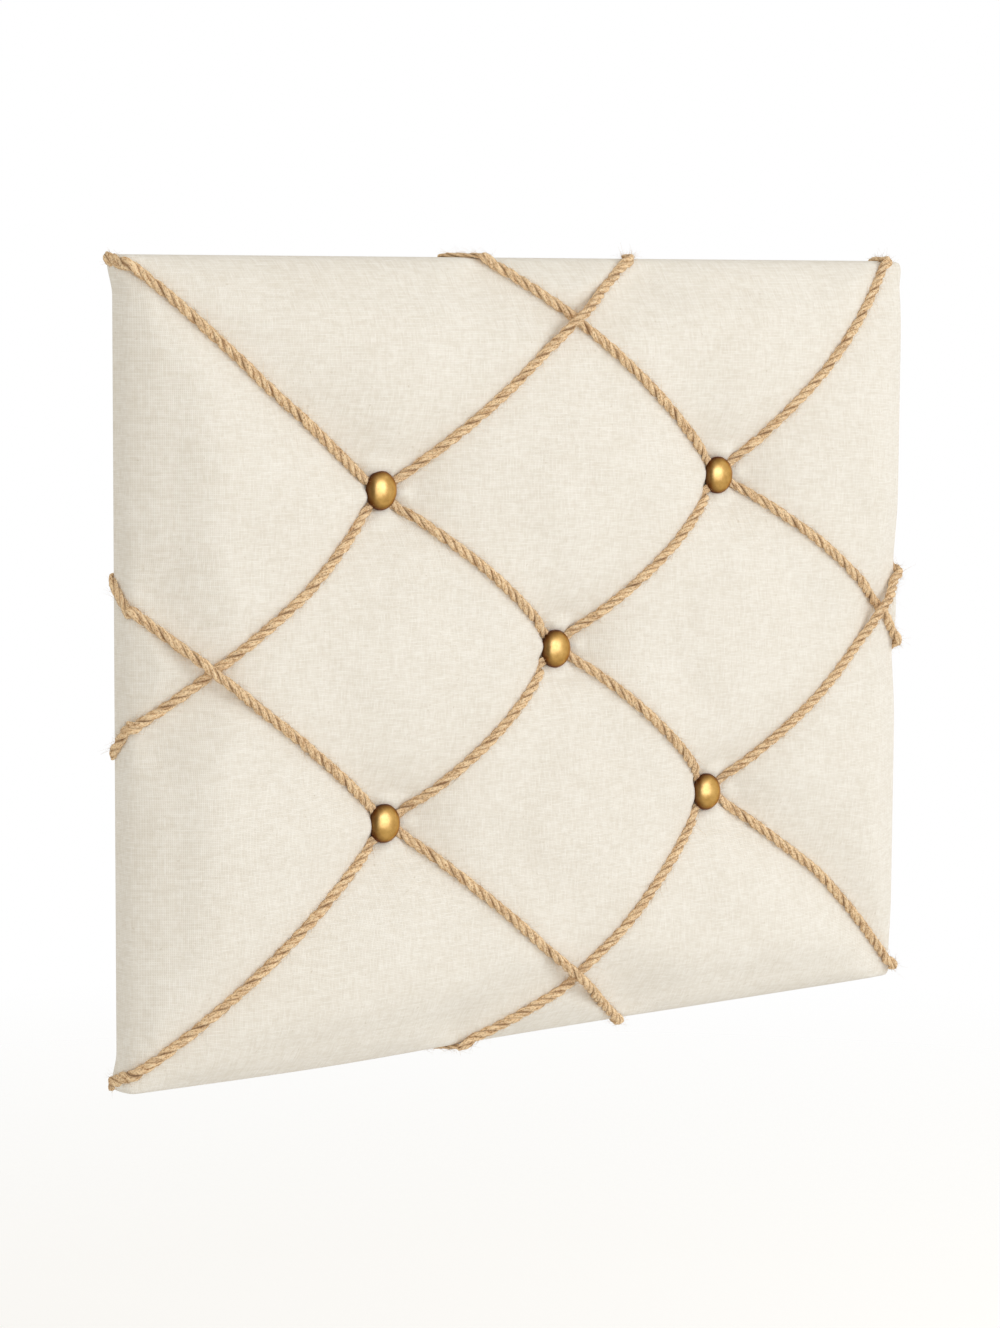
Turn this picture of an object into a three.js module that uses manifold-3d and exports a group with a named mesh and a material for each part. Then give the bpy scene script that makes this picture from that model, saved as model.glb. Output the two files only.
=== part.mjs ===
// A tufted bulletin board: linen over foam on a fibreboard, laced with jute cords that domed nails hold down.
// Millimetres. +X is to the viewer's right, +Z is up, the front faces -Y and the wall is the plane Y = 0.
// The origin is on the wall, midway between the two wall hooks that carry the D-rings.
import * as THREE from 'three';
import { mergeVertices } from 'three/addons/utils/BufferGeometryUtils.js';
import Module from 'manifold-3d';

const wasm = await Module();
wasm.setup();

// Board, foam and linen
const WIDTH = 508;
const HEIGHT = 406;
const BOARD_THICK = 12;
const LINEN_THICK = 0.8;
const HEM_WIDTH = 24;
const CROWN_FOAM = 26;
const EDGE_FOAM = 2.6;
const TUFT_FOAM = 3;
const EDGE_ROUND = 42;
const GAP = 0.3;

// Jute cords
const CORD_RADIUS = 3.2;
const SQUASHED_HALF = 1.5;
const SQUASHED_WIDTH = 3.6;
const EDGE_HALF = 2.2;
const VALLEY_WIDTH = 22;
const HUMP_REACH = 34;
const BACK_RUN = 44;
const BACK_LIFT_RUN = 10;
const EDGE_INSET = 6.5;
const EDGE_SLACK = 1.5;

// Domed nails
const NAIL_COLUMN = 110;
const NAIL_ROW = 85;
const NAIL_RADIUS = 10;
const NAIL_RISE = 7.5;
const NAIL_SHELL = 0.8;
const PIN_RADIUS = 1.1;
const PIN_HEAD_THICK = 1.2;
const PIN_GRIP = 9;
const PIN_POINT = 2.5;

// Where a nail's press on a cord starts to ease and ends, and where it ends on the linen, in nail radii
const PRESS_EASES = 1.1;
const PRESS_ENDS = 2.4;
const TUFT_ENDS = 2.5;
// How much of the lower cord a crossing covers, in cord widths
const CROSSING_COVER = 1.3;

// Back: dust sheet, staples, hangers and bumpers
const SHEET_THICK = 0.6;
const SHEET_INSET = 14;
const HEM_STAPLE_WIRE = 0.5;
const HEM_STAPLE_SPAN = 10;
const HEM_STAPLE_GRIP = 6;
const CORD_STAPLE_WIRE = 0.8;
const CORD_STAPLE_GRIP = 7;
const CORD_STAPLE_PLACE = 0.75;
const WALL_CLEARANCE = 0.8;
const BUMPER_RADIUS = 8;
const BUMPER_TAPER = 1;
const BUMPER_INSET = 70;
const HANGER_STEP = 34;
const HANGER_DROP = 13;
const STRAP_WIDTH = 12;
const STRAP_THICK = 1;
const STRAP_LENGTH = 28;
const CURL_DEGREES = 162;
const RING_WIRE_RADIUS = 1.2;
const RING_HALF_WIDTH = 9.5;
const RING_CORNER = 2.5;
const RING_RISE = 5;
const SCREW_DROP = 20;
const SCREW_RADIUS = 1.5;
const SCREW_HEAD_RADIUS = 3.2;
const SCREW_HEAD_TOP = 2.4;
const SCREW_HEAD_RISE = 2;
const SCREW_GRIP = 9;

// Facets
const CORD_SIDES = 8;
const CORD_STEP = 26;
const DOME_SIDES = 16;
const DOME_STEPS = 6;
const PIN_SIDES = 10;
const PIN_HOLE_SIDES = 6;
const SCREW_SIDES = 12;
const SCREW_HOLE_SIDES = 8;
const CURL_STEPS = 7;
const RING_STEPS = 32;
const RING_SIDES = 8;
const BUMPER_SIDES = 16;

// Levels, measured forwards from the back of the linen hem
const HALF_W = WIDTH / 2;
const HALF_H = HEIGHT / 2;
const BOARD_FRONT = LINEN_THICK + BOARD_THICK;
const linenLevel = (foam) => BOARD_FRONT + foam + GAP + LINEN_THICK;
const CROWN_LEVEL = linenLevel(CROWN_FOAM);
const EDGE_LEVEL = linenLevel(EDGE_FOAM);
const TUFT_LEVEL = linenLevel(TUFT_FOAM);
const SHEET_LIFT = HEM_STAPLE_WIRE + GAP;
const SHEET_BACK = -(SHEET_LIFT + SHEET_THICK);
const BACK_CORD_LEVEL = SHEET_BACK - GAP - CORD_RADIUS;
const CORD_STAPLE_BACK = BACK_CORD_LEVEL - CORD_RADIUS - GAP - CORD_STAPLE_WIRE;
const WALL_LEVEL = CORD_STAPLE_BACK - WALL_CLEARANCE;
const yAt = (level) => WALL_LEVEL - level;

// Hangers, inwards of the upper bumpers: a strap's curl lies on the dust sheet, and the ring's bar in the curl
const BUMPER_X = HALF_W - BUMPER_INSET;
const BUMPER_Z = HALF_H - BUMPER_INSET;
const HANGER_X = BUMPER_X - HANGER_STEP;
const HANGER_Z = BUMPER_Z - HANGER_DROP;
const CURL_INNER = RING_WIRE_RADIUS + GAP;
const CURL_OUTER = CURL_INNER + STRAP_THICK;
const BAR_Y = yAt(SHEET_BACK) + CURL_OUTER;
const HOOK_Z = HANGER_Z + RING_RISE + RING_HALF_WIDTH - RING_WIRE_RADIUS;

// Where the nails were set by hand, and where the cords cross or bend between them, in the plane of the board:
// so many columns and rows from the middle and a little off, or so far in from a corner
const inPattern = (columns, rows, offX, offZ) => (
  new THREE.Vector2(columns * NAIL_COLUMN + offX, rows * NAIL_ROW + offZ));
const inFromCorner = (right, up, inX, inZ) => new THREE.Vector2(right * (HALF_W - inX), up * (HALF_H - inZ));
const NAILS = {
  upper_left: inPattern(-1, 1, -3, 2),
  upper_right: inPattern(1, 1, 2, 3),
  centre: inPattern(0, 0, 0, 1),
  lower_left: inPattern(-1, -1, 0, 4),
  lower_right: inPattern(1, -1, -4, 2),
};
const CROSSINGS = {
  top: { at: inPattern(0, 2, 1, 2), over: 'cord_rising_upper', under: 'cord_falling_upper' },
  left: { at: inPattern(-2, 0, -1, 3), over: 'cord_falling_lower', under: 'cord_rising_upper' },
  right: { at: inPattern(2, 0, 6, 12), over: 'cord_rising_lower', under: 'cord_falling_upper' },
  bottom: { at: inPattern(0, -2, 8, 2), over: 'cord_falling_lower', under: 'cord_rising_lower' },
};
const BENDS = {
  near_top_left: inFromCorner(-1, 1, 70, 62),
  near_bottom_right: inFromCorner(1, -1, 70, 69),
};

// Where each cord goes round an edge: place along the edge, drift over the side, drift over the back
const wrap = (edge, at, sideDrift, backDrift) => ({ edge, at, sideDrift, backDrift });
const EDGES = {
  top: { normal: new THREE.Vector2(0, 1), along: new THREE.Vector2(1, 0), half: HALF_H },
  bottom: { normal: new THREE.Vector2(0, -1), along: new THREE.Vector2(1, 0), half: HALF_H },
  left: { normal: new THREE.Vector2(-1, 0), along: new THREE.Vector2(0, 1), half: HALF_W },
  right: { normal: new THREE.Vector2(1, 0), along: new THREE.Vector2(0, 1), half: HALF_W },
};

// Each cord from edge to edge, and how far it bows forwards between one hold and the next
const CORDS = [
  {
    name: 'cord_falling_main', bows: [11, 20, 20, 15],
    start: wrap('top', 6 - HALF_W, 0, 34), end: wrap('right', 7 - HALF_H, 0, 34),
    by: ['near_top_left', 'upper_left', 'centre', 'lower_right', 'near_bottom_right'],
  },
  {
    name: 'cord_falling_upper', bows: [18, 20],
    start: wrap('top', -46, -9, -20), end: wrap('right', -12, -9, -20),
    by: ['top', 'upper_right', 'right'],
  },
  {
    name: 'cord_falling_lower', bows: [15, 21],
    start: wrap('left', 33, 14, 20), end: wrap('bottom', 52, 9, 20),
    by: ['left', 'lower_left', 'bottom'],
  },
  {
    name: 'cord_rising_main', bows: [14, 20, 20, 15],
    start: wrap('left', 8 - HALF_H, 0, 34), end: wrap('top', HALF_W - 13, 0, -34),
    by: ['lower_left', 'centre', 'upper_right'],
  },
  {
    name: 'cord_rising_upper', bows: [15, 18],
    start: wrap('left', -20, -17, -20), end: wrap('top', 54, 14, 20),
    by: ['left', 'upper_left', 'top'],
  },
  {
    name: 'cord_rising_lower', bows: [22, 20],
    start: wrap('bottom', -57, -9, -20), end: wrap('right', 31, 9, 20),
    by: ['bottom', 'lower_right', 'right'],
  },
];

// Colours read from the photograph
const finish = (color, roughness, metalness) => new THREE.MeshStandardMaterial({ color, roughness, metalness });
const LINEN = finish(0xeae3d4, 0.95, 0);
const JUTE = finish(0xcaa06a, 0.95, 0);
const BRASS = finish(0xb48a3e, 0.35, 1);
const FOAM = finish(0xf3e9c6, 0.9, 0);
const FIBREBOARD = finish(0x9c7b58, 0.9, 0);
const KRAFT = finish(0xb18c62, 0.9, 0);
const STEEL = finish(0xb6b8bb, 0.35, 1);
const RUBBER = finish(0x2d2c2b, 0.8, 0);

const board = new THREE.Group();
board.name = 'tufted_bulletin_board';

function addPiece(name, geometry, material) {
  geometry.translate(0, 0, -HOOK_Z);
  const mesh = new THREE.Mesh(geometry, material);
  mesh.name = name;
  board.add(mesh);
}

// Cutting one shape with others
function solidOf(geometry) {
  const bare = geometry.clone();
  bare.deleteAttribute('normal');
  bare.deleteAttribute('uv');
  const welded = mergeVertices(bare, 1e-4);
  const triangles = [];
  for (let i = 0; i < welded.index.count; i += 3) {
    const [a, b, c] = [0, 1, 2].map((k) => welded.index.getX(i + k));
    if (a !== b && b !== c && c !== a) triangles.push(a, b, c);
  }
  const vertProperties = Float32Array.from(welded.attributes.position.array);
  const mesh = new wasm.Mesh({ numProp: 3, vertProperties, triVerts: Uint32Array.from(triangles) });
  return new wasm.Manifold(mesh);
}

function cut(geometry, cutters) {
  let solid = solidOf(geometry);
  for (const cutter of cutters) solid = solid.subtract(solidOf(cutter));
  const mesh = solid.getMesh();
  const result = new THREE.BufferGeometry();
  result.setAttribute('position', new THREE.BufferAttribute(mesh.vertProperties, 3));
  result.setIndex(new THREE.BufferAttribute(mesh.triVerts, 1));
  result.computeVertexNormals();
  return result;
}

function meshOf(points, triangles) {
  const geometry = new THREE.BufferGeometry();
  const numbers = points.flatMap((p) => [p.x, p.y, p.z]);
  geometry.setAttribute('position', new THREE.Float32BufferAttribute(numbers, 3));
  geometry.setIndex(triangles);
  geometry.computeVertexNormals();
  return geometry;
}

// A hole or a shank along Y between two levels
function drill(x, z, radius, fromLevel, toLevel, sides) {
  const geometry = new THREE.CylinderGeometry(radius, radius, Math.abs(toLevel - fromLevel), sides);
  return geometry.translate(x, yAt((fromLevel + toLevel) / 2), z);
}

// Turned pieces: the outline runs from the front to the back
function turned(outline, x, z, sides) {
  const points = outline.map(([radius, level]) => new THREE.Vector2(radius, yAt(level)));
  return new THREE.LatheGeometry(points, sides).translate(x, 0, z);
}

// Plan routes of the cords, with the level of the pressed linen at both ends of every stretch
const edgePoint = (place, inset, slide) => {
  const { normal, along, half } = EDGES[place.edge];
  const point = normal.clone().multiplyScalar(half - inset);
  return point.addScaledVector(along, place.at + slide);
};
const pointNamed = (name) => NAILS[name] ?? CROSSINGS[name]?.at ?? BENDS[name];

function cordSpans(cord) {
  const names = ['edge', ...cord.by, 'edge'];
  const isHold = (name) => name === 'edge' || name in NAILS;
  const levelOf = (name) => (name === 'edge' ? EDGE_LEVEL : TUFT_LEVEL);
  const holds = names.map((name, i) => i).filter((i) => isHold(names[i]));
  return holds.slice(1).flatMap((last, n) => {
    const first = holds[n];
    const lengths = [];
    for (let i = first; i < last; i += 1) lengths.push(cord.plan[i].distanceTo(cord.plan[i + 1]));
    const whole = lengths.reduce((sum, length) => sum + length, 0);
    let run = 0;
    return lengths.map((length, i) => {
      const shares = [run / whole, (run + length) / whole];
      run += length;
      const levels = [levelOf(names[first]), levelOf(names[last])];
      return { from: cord.plan[first + i], to: cord.plan[first + i + 1], shares, levels, bow: cord.bows[n] };
    });
  });
}
for (const cord of CORDS) {
  cord.nails = cord.by.filter((name) => name in NAILS);
  cord.plan = [edgePoint(cord.start, 0, 0), ...cord.by.map(pointNamed), edgePoint(cord.end, 0, 0)];
  cord.spans = cordSpans(cord);
}

// How low a cord draws the padding along one stretch, and how near a point is to it
function pressAt(x, z, { from, to, shares, levels, bow }) {
  const stretch = to.clone().sub(from);
  const offset = new THREE.Vector2(x, z).sub(from);
  const along = THREE.MathUtils.clamp(offset.dot(stretch) / stretch.lengthSq(), 0, 1);
  const away = offset.addScaledVector(stretch, -along).length();
  const share = THREE.MathUtils.lerp(shares[0], shares[1], along);
  const level = THREE.MathUtils.lerp(levels[0], levels[1], share) + bow * 4 * share * (1 - share);
  return { away, level };
}

function edgeProfile(distance) {
  const short = 1 - Math.min(Math.max(distance, 0) / EDGE_ROUND, 1);
  return 1 - short * short;
}

// Front of the linen: a crowned pillow, drawn in along the cords and at the nails
function linenForm(x, z) {
  const crown = edgeProfile(HALF_W - Math.abs(x)) * edgeProfile(HALF_H - Math.abs(z));
  const pillow = EDGE_LEVEL + (CROWN_LEVEL - EDGE_LEVEL) * crown;
  let drawn = 0;
  for (const cord of CORDS) {
    for (const span of cord.spans) {
      const press = pressAt(x, z, span);
      const depth = Math.max(pillow - press.level, 0) * Math.exp(-((press.away / VALLEY_WIDTH) ** 2));
      drawn += depth ** 4;
    }
  }
  let level = pillow - drawn ** 0.25;
  for (const nail of Object.values(NAILS)) {
    const beyond = Math.hypot(x - nail.x, z - nail.y) / NAIL_RADIUS;
    level = THREE.MathUtils.lerp(TUFT_LEVEL, level, THREE.MathUtils.smoothstep(beyond, 1, TUFT_ENDS));
  }
  return level;
}

// The linen and foam share one grid, closer at the nails and the edges
const NAIL_RING = 1.4;
const EDGE_LINES = [0.98, 0.4, 0.1, 0];
function gridLines(nailLine, half) {
  const ring = NAIL_RADIUS * NAIL_RING;
  const outer = EDGE_LINES.map((share) => half - EDGE_ROUND * share);
  const right = [ring, nailLine / 2, nailLine - ring, nailLine, nailLine + ring, ...outer];
  return [...right.map((v) => -v).reverse(), 0, ...right];
}
const COLUMNS = gridLines(NAIL_COLUMN, HALF_W);
const ROWS = gridLines(NAIL_ROW, HALF_H);
const LINEN_GRID = ROWS.map((z) => COLUMNS.map((x) => linenForm(x, z)));

// A cell is split along the cord that crosses its part of the pattern
function splitRises(column, row) {
  const x = (COLUMNS[column] + COLUMNS[column + 1]) / 2;
  const z = (ROWS[row] + ROWS[row + 1]) / 2;
  const squares = Math.floor(Math.abs(x) / NAIL_COLUMN) + Math.floor(Math.abs(z) / NAIL_ROW);
  return (squares % 2 === 0) === (x * z > 0);
}

// Level of the faceted linen at a point of the plan
function linenAt(x, z) {
  const cellOf = (lines, v) => {
    const next = lines.findIndex((line) => line > v);
    return next < 0 ? lines.length - 2 : Math.max(next - 1, 0);
  };
  const column = cellOf(COLUMNS, x);
  const row = cellOf(ROWS, z);
  const u = THREE.MathUtils.clamp((x - COLUMNS[column]) / (COLUMNS[column + 1] - COLUMNS[column]), 0, 1);
  const v = THREE.MathUtils.clamp((z - ROWS[row]) / (ROWS[row + 1] - ROWS[row]), 0, 1);
  const a = LINEN_GRID[row][column];
  const b = LINEN_GRID[row][column + 1];
  const c = LINEN_GRID[row + 1][column + 1];
  const d = LINEN_GRID[row + 1][column];
  if (splitRises(column, row)) return u >= v ? a + (b - a) * u + (c - b) * v : a + (c - d) * u + (d - a) * v;
  return u + v <= 1 ? a + (b - a) * u + (d - a) * v : c + (d - c) * (1 - u) + (b - c) * (1 - v);
}

// One layer of the grid, its boundary loop, and bands between loops
function gridLayer(points, inset, drop) {
  const first = points.length;
  ROWS.forEach((z, row) => COLUMNS.forEach((x, column) => {
    const px = THREE.MathUtils.clamp(x, inset - HALF_W, HALF_W - inset);
    const pz = THREE.MathUtils.clamp(z, inset - HALF_H, HALF_H - inset);
    points.push(new THREE.Vector3(px, yAt(LINEN_GRID[row][column] - drop), pz));
  }));
  return first;
}

function gridFaces(triangles, first, inward) {
  const wide = COLUMNS.length;
  for (let row = 0; row + 1 < ROWS.length; row += 1) {
    for (let column = 0; column + 1 < wide; column += 1) {
      const a = first + row * wide + column;
      const [b, c, d] = [a + 1, a + wide + 1, a + wide];
      const split = splitRises(column, row) ? [[a, b, c], [a, c, d]] : [[a, b, d], [b, c, d]];
      for (const [p, q, r] of split) triangles.push(p, inward ? r : q, inward ? q : r);
    }
  }
}

function gridBoundary(first) {
  const wide = COLUMNS.length;
  const tall = ROWS.length;
  const loop = [];
  for (let i = 0; i + 1 < wide; i += 1) loop.push(first + i);
  for (let i = 0; i + 1 < tall; i += 1) loop.push(first + i * wide + wide - 1);
  for (let i = wide - 1; i > 0; i -= 1) loop.push(first + (tall - 1) * wide + i);
  for (let i = tall - 1; i > 0; i -= 1) loop.push(first + i * wide);
  return loop;
}

function copyLoop(points, loop, inset, level) {
  const first = points.length;
  for (const index of loop) {
    const from = points[index];
    const x = from.x / HALF_W * (HALF_W - inset);
    const z = from.z / HALF_H * (HALF_H - inset);
    points.push(new THREE.Vector3(x, yAt(level), z));
  }
  return loop.map((_, i) => first + i);
}

function bandFaces(triangles, front, back) {
  front.forEach((a, i) => {
    const next = (i + 1) % front.length;
    triangles.push(a, back[i], back[next], a, back[next], front[next]);
  });
}

// Linen cover: front, sides and hem as one folded sheet
function linenGeometry() {
  const points = [];
  const triangles = [];
  const outer = gridLayer(points, 0, 0);
  const inner = gridLayer(points, LINEN_THICK, LINEN_THICK);
  const frontLoop = gridBoundary(outer);
  const innerLoop = gridBoundary(inner);
  const rearLoop = copyLoop(points, frontLoop, 0, 0);
  const hemLoop = copyLoop(points, frontLoop, HEM_WIDTH, 0);
  const hemInnerLoop = copyLoop(points, frontLoop, HEM_WIDTH, LINEN_THICK);
  const rearInnerLoop = copyLoop(points, frontLoop, LINEN_THICK, LINEN_THICK);
  gridFaces(triangles, outer, false);
  gridFaces(triangles, inner, true);
  const loops = [frontLoop, rearLoop, hemLoop, hemInnerLoop, rearInnerLoop, innerLoop];
  for (let i = 0; i + 1 < loops.length; i += 1) bandFaces(triangles, loops[i], loops[i + 1]);
  return meshOf(points, triangles);
}

// Foam pad: the same form one linen and one gap lower, flat on the board
function foamGeometry() {
  const points = [];
  const triangles = [];
  const inset = LINEN_THICK + GAP;
  const top = gridLayer(points, inset, inset);
  const topLoop = gridBoundary(top);
  const baseLoop = topLoop.map((index) => points.push(points[index].clone().setY(yAt(BOARD_FRONT))) - 1);
  const middle = points.push(new THREE.Vector3(0, yAt(BOARD_FRONT), 0)) - 1;
  gridFaces(triangles, top, false);
  bandFaces(triangles, topLoop, baseLoop);
  baseLoop.forEach((a, i) => triangles.push(a, middle, baseLoop[(i + 1) % baseLoop.length]));
  return meshOf(points, triangles);
}

// Stations along the front of a cord, closer together at the nails and at the crossings
const HUMP_STATIONS = [0.35, 0.7];
function keysNear(name) {
  if (name in NAILS) return [NAIL_RADIUS * PRESS_EASES, NAIL_RADIUS * PRESS_ENDS];
  return name in CROSSINGS ? HUMP_STATIONS.map((share) => HUMP_REACH * share) : [];
}

function frontStations(cord) {
  const names = ['edge', ...cord.by, 'edge'];
  const stations = [];
  for (let i = 0; i + 1 < cord.plan.length; i += 1) {
    const [from, to] = [cord.plan[i], cord.plan[i + 1]];
    const length = from.distanceTo(to);
    const first = names[i] === 'edge' ? EDGE_INSET : 0;
    const last = names[i + 1] === 'edge' ? length - EDGE_INSET : length;
    const keys = [...keysNear(names[i]), ...keysNear(names[i + 1]).map((key) => length - key)];
    const inside = keys.filter((key) => key > first + CORD_RADIUS && key < last - CORD_RADIUS);
    const distances = [first];
    for (const key of [...inside.sort((a, b) => a - b), last]) {
      const previous = distances[distances.length - 1];
      const pieces = Math.ceil((key - previous) / CORD_STEP);
      for (let n = 1; n <= pieces; n += 1) distances.push(previous + (key - previous) * n / pieces);
    }
    const direction = to.clone().sub(from).normalize();
    for (const distance of i === 0 ? distances : distances.slice(1)) {
      stations.push({ at: from.clone().addScaledVector(direction, distance), direction });
    }
  }
  return stations;
}

// The section is round, but squashed flat where a nail head presses on it
function sectionAt(cord, at) {
  const nearest = Math.min(...cord.nails.map((name) => NAILS[name].distanceTo(at)));
  const free = THREE.MathUtils.smoothstep(nearest / NAIL_RADIUS, PRESS_EASES, PRESS_ENDS);
  return {
    wide: THREE.MathUtils.lerp(SQUASHED_WIDTH, CORD_RADIUS, free),
    thick: THREE.MathUtils.lerp(SQUASHED_HALF, CORD_RADIUS, free),
  };
}

// Lowest level at which a cord's centre clears the linen, tried across its section
const ACROSS = [-1, -0.7, -0.35, 0, 0.35, 0.7, 1];
function restLevel(cord, at, direction) {
  const { wide, thick } = sectionAt(cord, at);
  const reach = 2 * CORD_RADIUS;
  const before = linenAt(at.x - direction.x * reach, at.y - direction.y * reach);
  const after = linenAt(at.x + direction.x * reach, at.y + direction.y * reach);
  const tilt = Math.hypot(1, (after - before) / (2 * reach));
  let level = 0;
  for (const share of ACROSS) {
    const x = at.x - direction.y * wide * share;
    const z = at.y + direction.x * wide * share;
    level = Math.max(level, linenAt(x, z) + (GAP + thick * Math.sqrt(1 - share * share)) * tilt);
  }
  return level;
}

// Each station rests on the linen, and is lifted where the stretch to the next one would dip into it
const BETWEEN = [0.2, 0.4, 0.6, 0.8];
function layOnLinen(cord) {
  const { stations } = cord;
  for (const station of stations) station.level = restLevel(cord, station.at, station.direction);
  for (let i = 0; i + 1 < stations.length; i += 1) {
    let short = 0;
    for (const share of BETWEEN) {
      const at = stations[i].at.clone().lerp(stations[i + 1].at, share);
      const level = THREE.MathUtils.lerp(stations[i].level, stations[i + 1].level, share);
      short = Math.max(short, restLevel(cord, at, stations[i + 1].direction) - level);
    }
    stations[i].level += short;
    stations[i + 1].level += short;
  }
}

function levelNear(cord, point) {
  const distances = cord.stations.map((station) => station.at.distanceTo(point));
  return cord.stations[distances.indexOf(Math.min(...distances))].level;
}

const cordNamed = (name) => CORDS.find((cord) => cord.name === name);
for (const cord of CORDS) {
  cord.stations = frontStations(cord);
  layOnLinen(cord);
}
for (const { at, over, under } of Object.values(CROSSINGS)) {
  const upper = cordNamed(over);
  const lift = levelNear(cordNamed(under), at) + 2 * (CORD_RADIUS + GAP) - levelNear(upper, at);
  for (const station of upper.stations) {
    const away = Math.min(station.at.distanceTo(at) / HUMP_REACH, 1);
    station.level += lift * Math.cos(away * Math.PI / 2) ** 2;
  }
}

// Under each nail the rising cord lies on the falling one, and the nail's rim rests on both
const rimLevels = {};
for (const [name, nail] of Object.entries(NAILS)) {
  const [falling, rising] = CORDS.filter((cord) => cord.nails.includes(name));
  const underNail = ({ at }) => at.distanceTo(nail) < GAP;
  const middle = falling.stations.findIndex(underNail);
  const highest = Math.max(...[-1, 0, 1].map((step) => {
    const station = falling.stations[middle + step];
    const away = Math.max(station.at.distanceTo(nail), GAP);
    const share = Math.min(CROSSING_COVER * SQUASHED_WIDTH / away, 1);
    return THREE.MathUtils.lerp(falling.stations[middle].level, station.level, share);
  }));
  const crossing = rising.stations.find(underNail);
  crossing.level = Math.max(crossing.level, highest + 2 * SQUASHED_HALF + GAP);
  const underRim = ({ at }) => at.distanceTo(nail) <= NAIL_RADIUS * PRESS_EASES + GAP;
  const pressed = [...falling.stations, ...rising.stations].filter(underRim);
  rimLevels[name] = Math.max(...pressed.map(({ level }) => level)) + SQUASHED_HALF + GAP;
}

// Rings of a cord: back end, flattened round one edge, over the front, round the other edge, back end
function wrapRings(place) {
  const { normal } = EDGES[place.edge];
  const outward = new THREE.Vector3(normal.x, 0, normal.y);
  const back = new THREE.Vector3(0, 1, 0);
  const ring = (inset, level, slide, out, wide, thick) => {
    const plan = edgePoint(place, inset, slide);
    return { point: new THREE.Vector3(plan.x, yAt(level), plan.y), out, wide, thick };
  };
  const around = (degrees, corner, slack, slide) => {
    const angle = THREE.MathUtils.degToRad(degrees);
    const out = outward.clone().multiplyScalar(Math.cos(angle)).addScaledVector(back, -Math.sin(angle));
    const reach = EDGE_HALF + slack;
    const level = corner + reach * Math.sin(angle);
    return ring(-reach * Math.cos(angle), level, slide, out, SQUASHED_WIDTH, EDGE_HALF);
  };
  const ends = [BACK_RUN, BACK_RUN * CORD_STAPLE_PLACE, BACK_LIFT_RUN].map((inset) => {
    const slide = place.sideDrift + place.backDrift * inset / BACK_RUN;
    return ring(inset, BACK_CORD_LEVEL, slide, back, CORD_RADIUS, CORD_RADIUS);
  });
  const rear = [-90, -60, -30, 0].map((degrees) => around(degrees, 0, GAP, place.sideDrift));
  const front = [[0, GAP], [30, EDGE_SLACK / 2], [55, EDGE_SLACK]];
  return [...ends, ...rear, ...front.map(([degrees, slack]) => around(degrees, EDGE_LEVEL, slack, 0))];
}

function cordRings(cord) {
  const front = cord.stations.map(({ at, level }) => {
    const point = new THREE.Vector3(at.x, yAt(level), at.y);
    return { point, out: new THREE.Vector3(0, -1, 0), ...sectionAt(cord, at) };
  });
  return [...wrapRings(cord.start), ...front, ...wrapRings(cord.end).reverse()];
}

function cordGeometry(cord) {
  const rings = cordRings(cord);
  const points = [];
  const triangles = [];
  rings.forEach(({ point, out, wide, thick }, i) => {
    const before = rings[Math.max(i - 1, 0)].point;
    const after = rings[Math.min(i + 1, rings.length - 1)].point;
    const travel = after.clone().sub(before).normalize();
    const side = travel.clone().cross(out).normalize();
    const rise = side.clone().cross(travel);
    for (let k = 0; k < CORD_SIDES; k += 1) {
      const turn = (k + 0.5) * 2 * Math.PI / CORD_SIDES;
      const vertex = point.clone().addScaledVector(side, wide * Math.cos(turn));
      points.push(vertex.addScaledVector(rise, thick * Math.sin(turn)));
    }
  });
  for (let i = 0; i + 1 < rings.length; i += 1) {
    for (let k = 0; k < CORD_SIDES; k += 1) {
      const next = (k + 1) % CORD_SIDES;
      const [a, b] = [i * CORD_SIDES + k, i * CORD_SIDES + next];
      const [c, d] = [b + CORD_SIDES, a + CORD_SIDES];
      triangles.push(a, d, b, b, d, c);
    }
  }
  const end = (rings.length - 1) * CORD_SIDES;
  for (let k = 1; k + 1 < CORD_SIDES; k += 1) triangles.push(0, k, k + 1, end, end + k + 1, end + k);
  const holes = cord.nails.map((name) => {
    const { x, y } = NAILS[name];
    return drill(x, y, PIN_RADIUS + GAP, TUFT_LEVEL - GAP, rimLevels[name] + GAP, PIN_HOLE_SIDES);
  });
  return cut(meshOf(points, triangles), holes);
}

// Staples: a crown on the back and two legs into the board, set square to what they hold
function turnTo(geometry, at, along) {
  return geometry.rotateY(Math.atan2(-along.y, along.x)).translate(at.x, 0, at.y);
}

function stapleGeometry(staple) {
  const { at, along, wire, inner, backLevel, tipLevel } = staple;
  const [crown, under, tip] = [yAt(backLevel), yAt(backLevel + wire), yAt(tipLevel)];
  const outer = inner + wire;
  const outline = [[-outer, tip], [-outer, crown], [outer, crown], [outer, tip],
    [inner, tip], [inner, under], [-inner, under], [-inner, tip]];
  const shape = new THREE.Shape(outline.map(([x, y]) => new THREE.Vector2(x, y)));
  const geometry = new THREE.ExtrudeGeometry(shape, { depth: wire, bevelEnabled: false, steps: 1 });
  return turnTo(geometry.translate(0, 0, -wire / 2), at, along);
}

function stapleHoles(staple) {
  const { at, along, wire, inner, backLevel, tipLevel } = staple;
  const [from, to] = [yAt(backLevel), yAt(tipLevel + GAP)];
  return [-1, 1].map((side) => {
    const hole = new THREE.BoxGeometry(wire + 2 * GAP, from - to, wire + 2 * GAP);
    return turnTo(hole.translate(side * (inner + wire / 2), (from + to) / 2, 0), at, along);
  });
}

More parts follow.
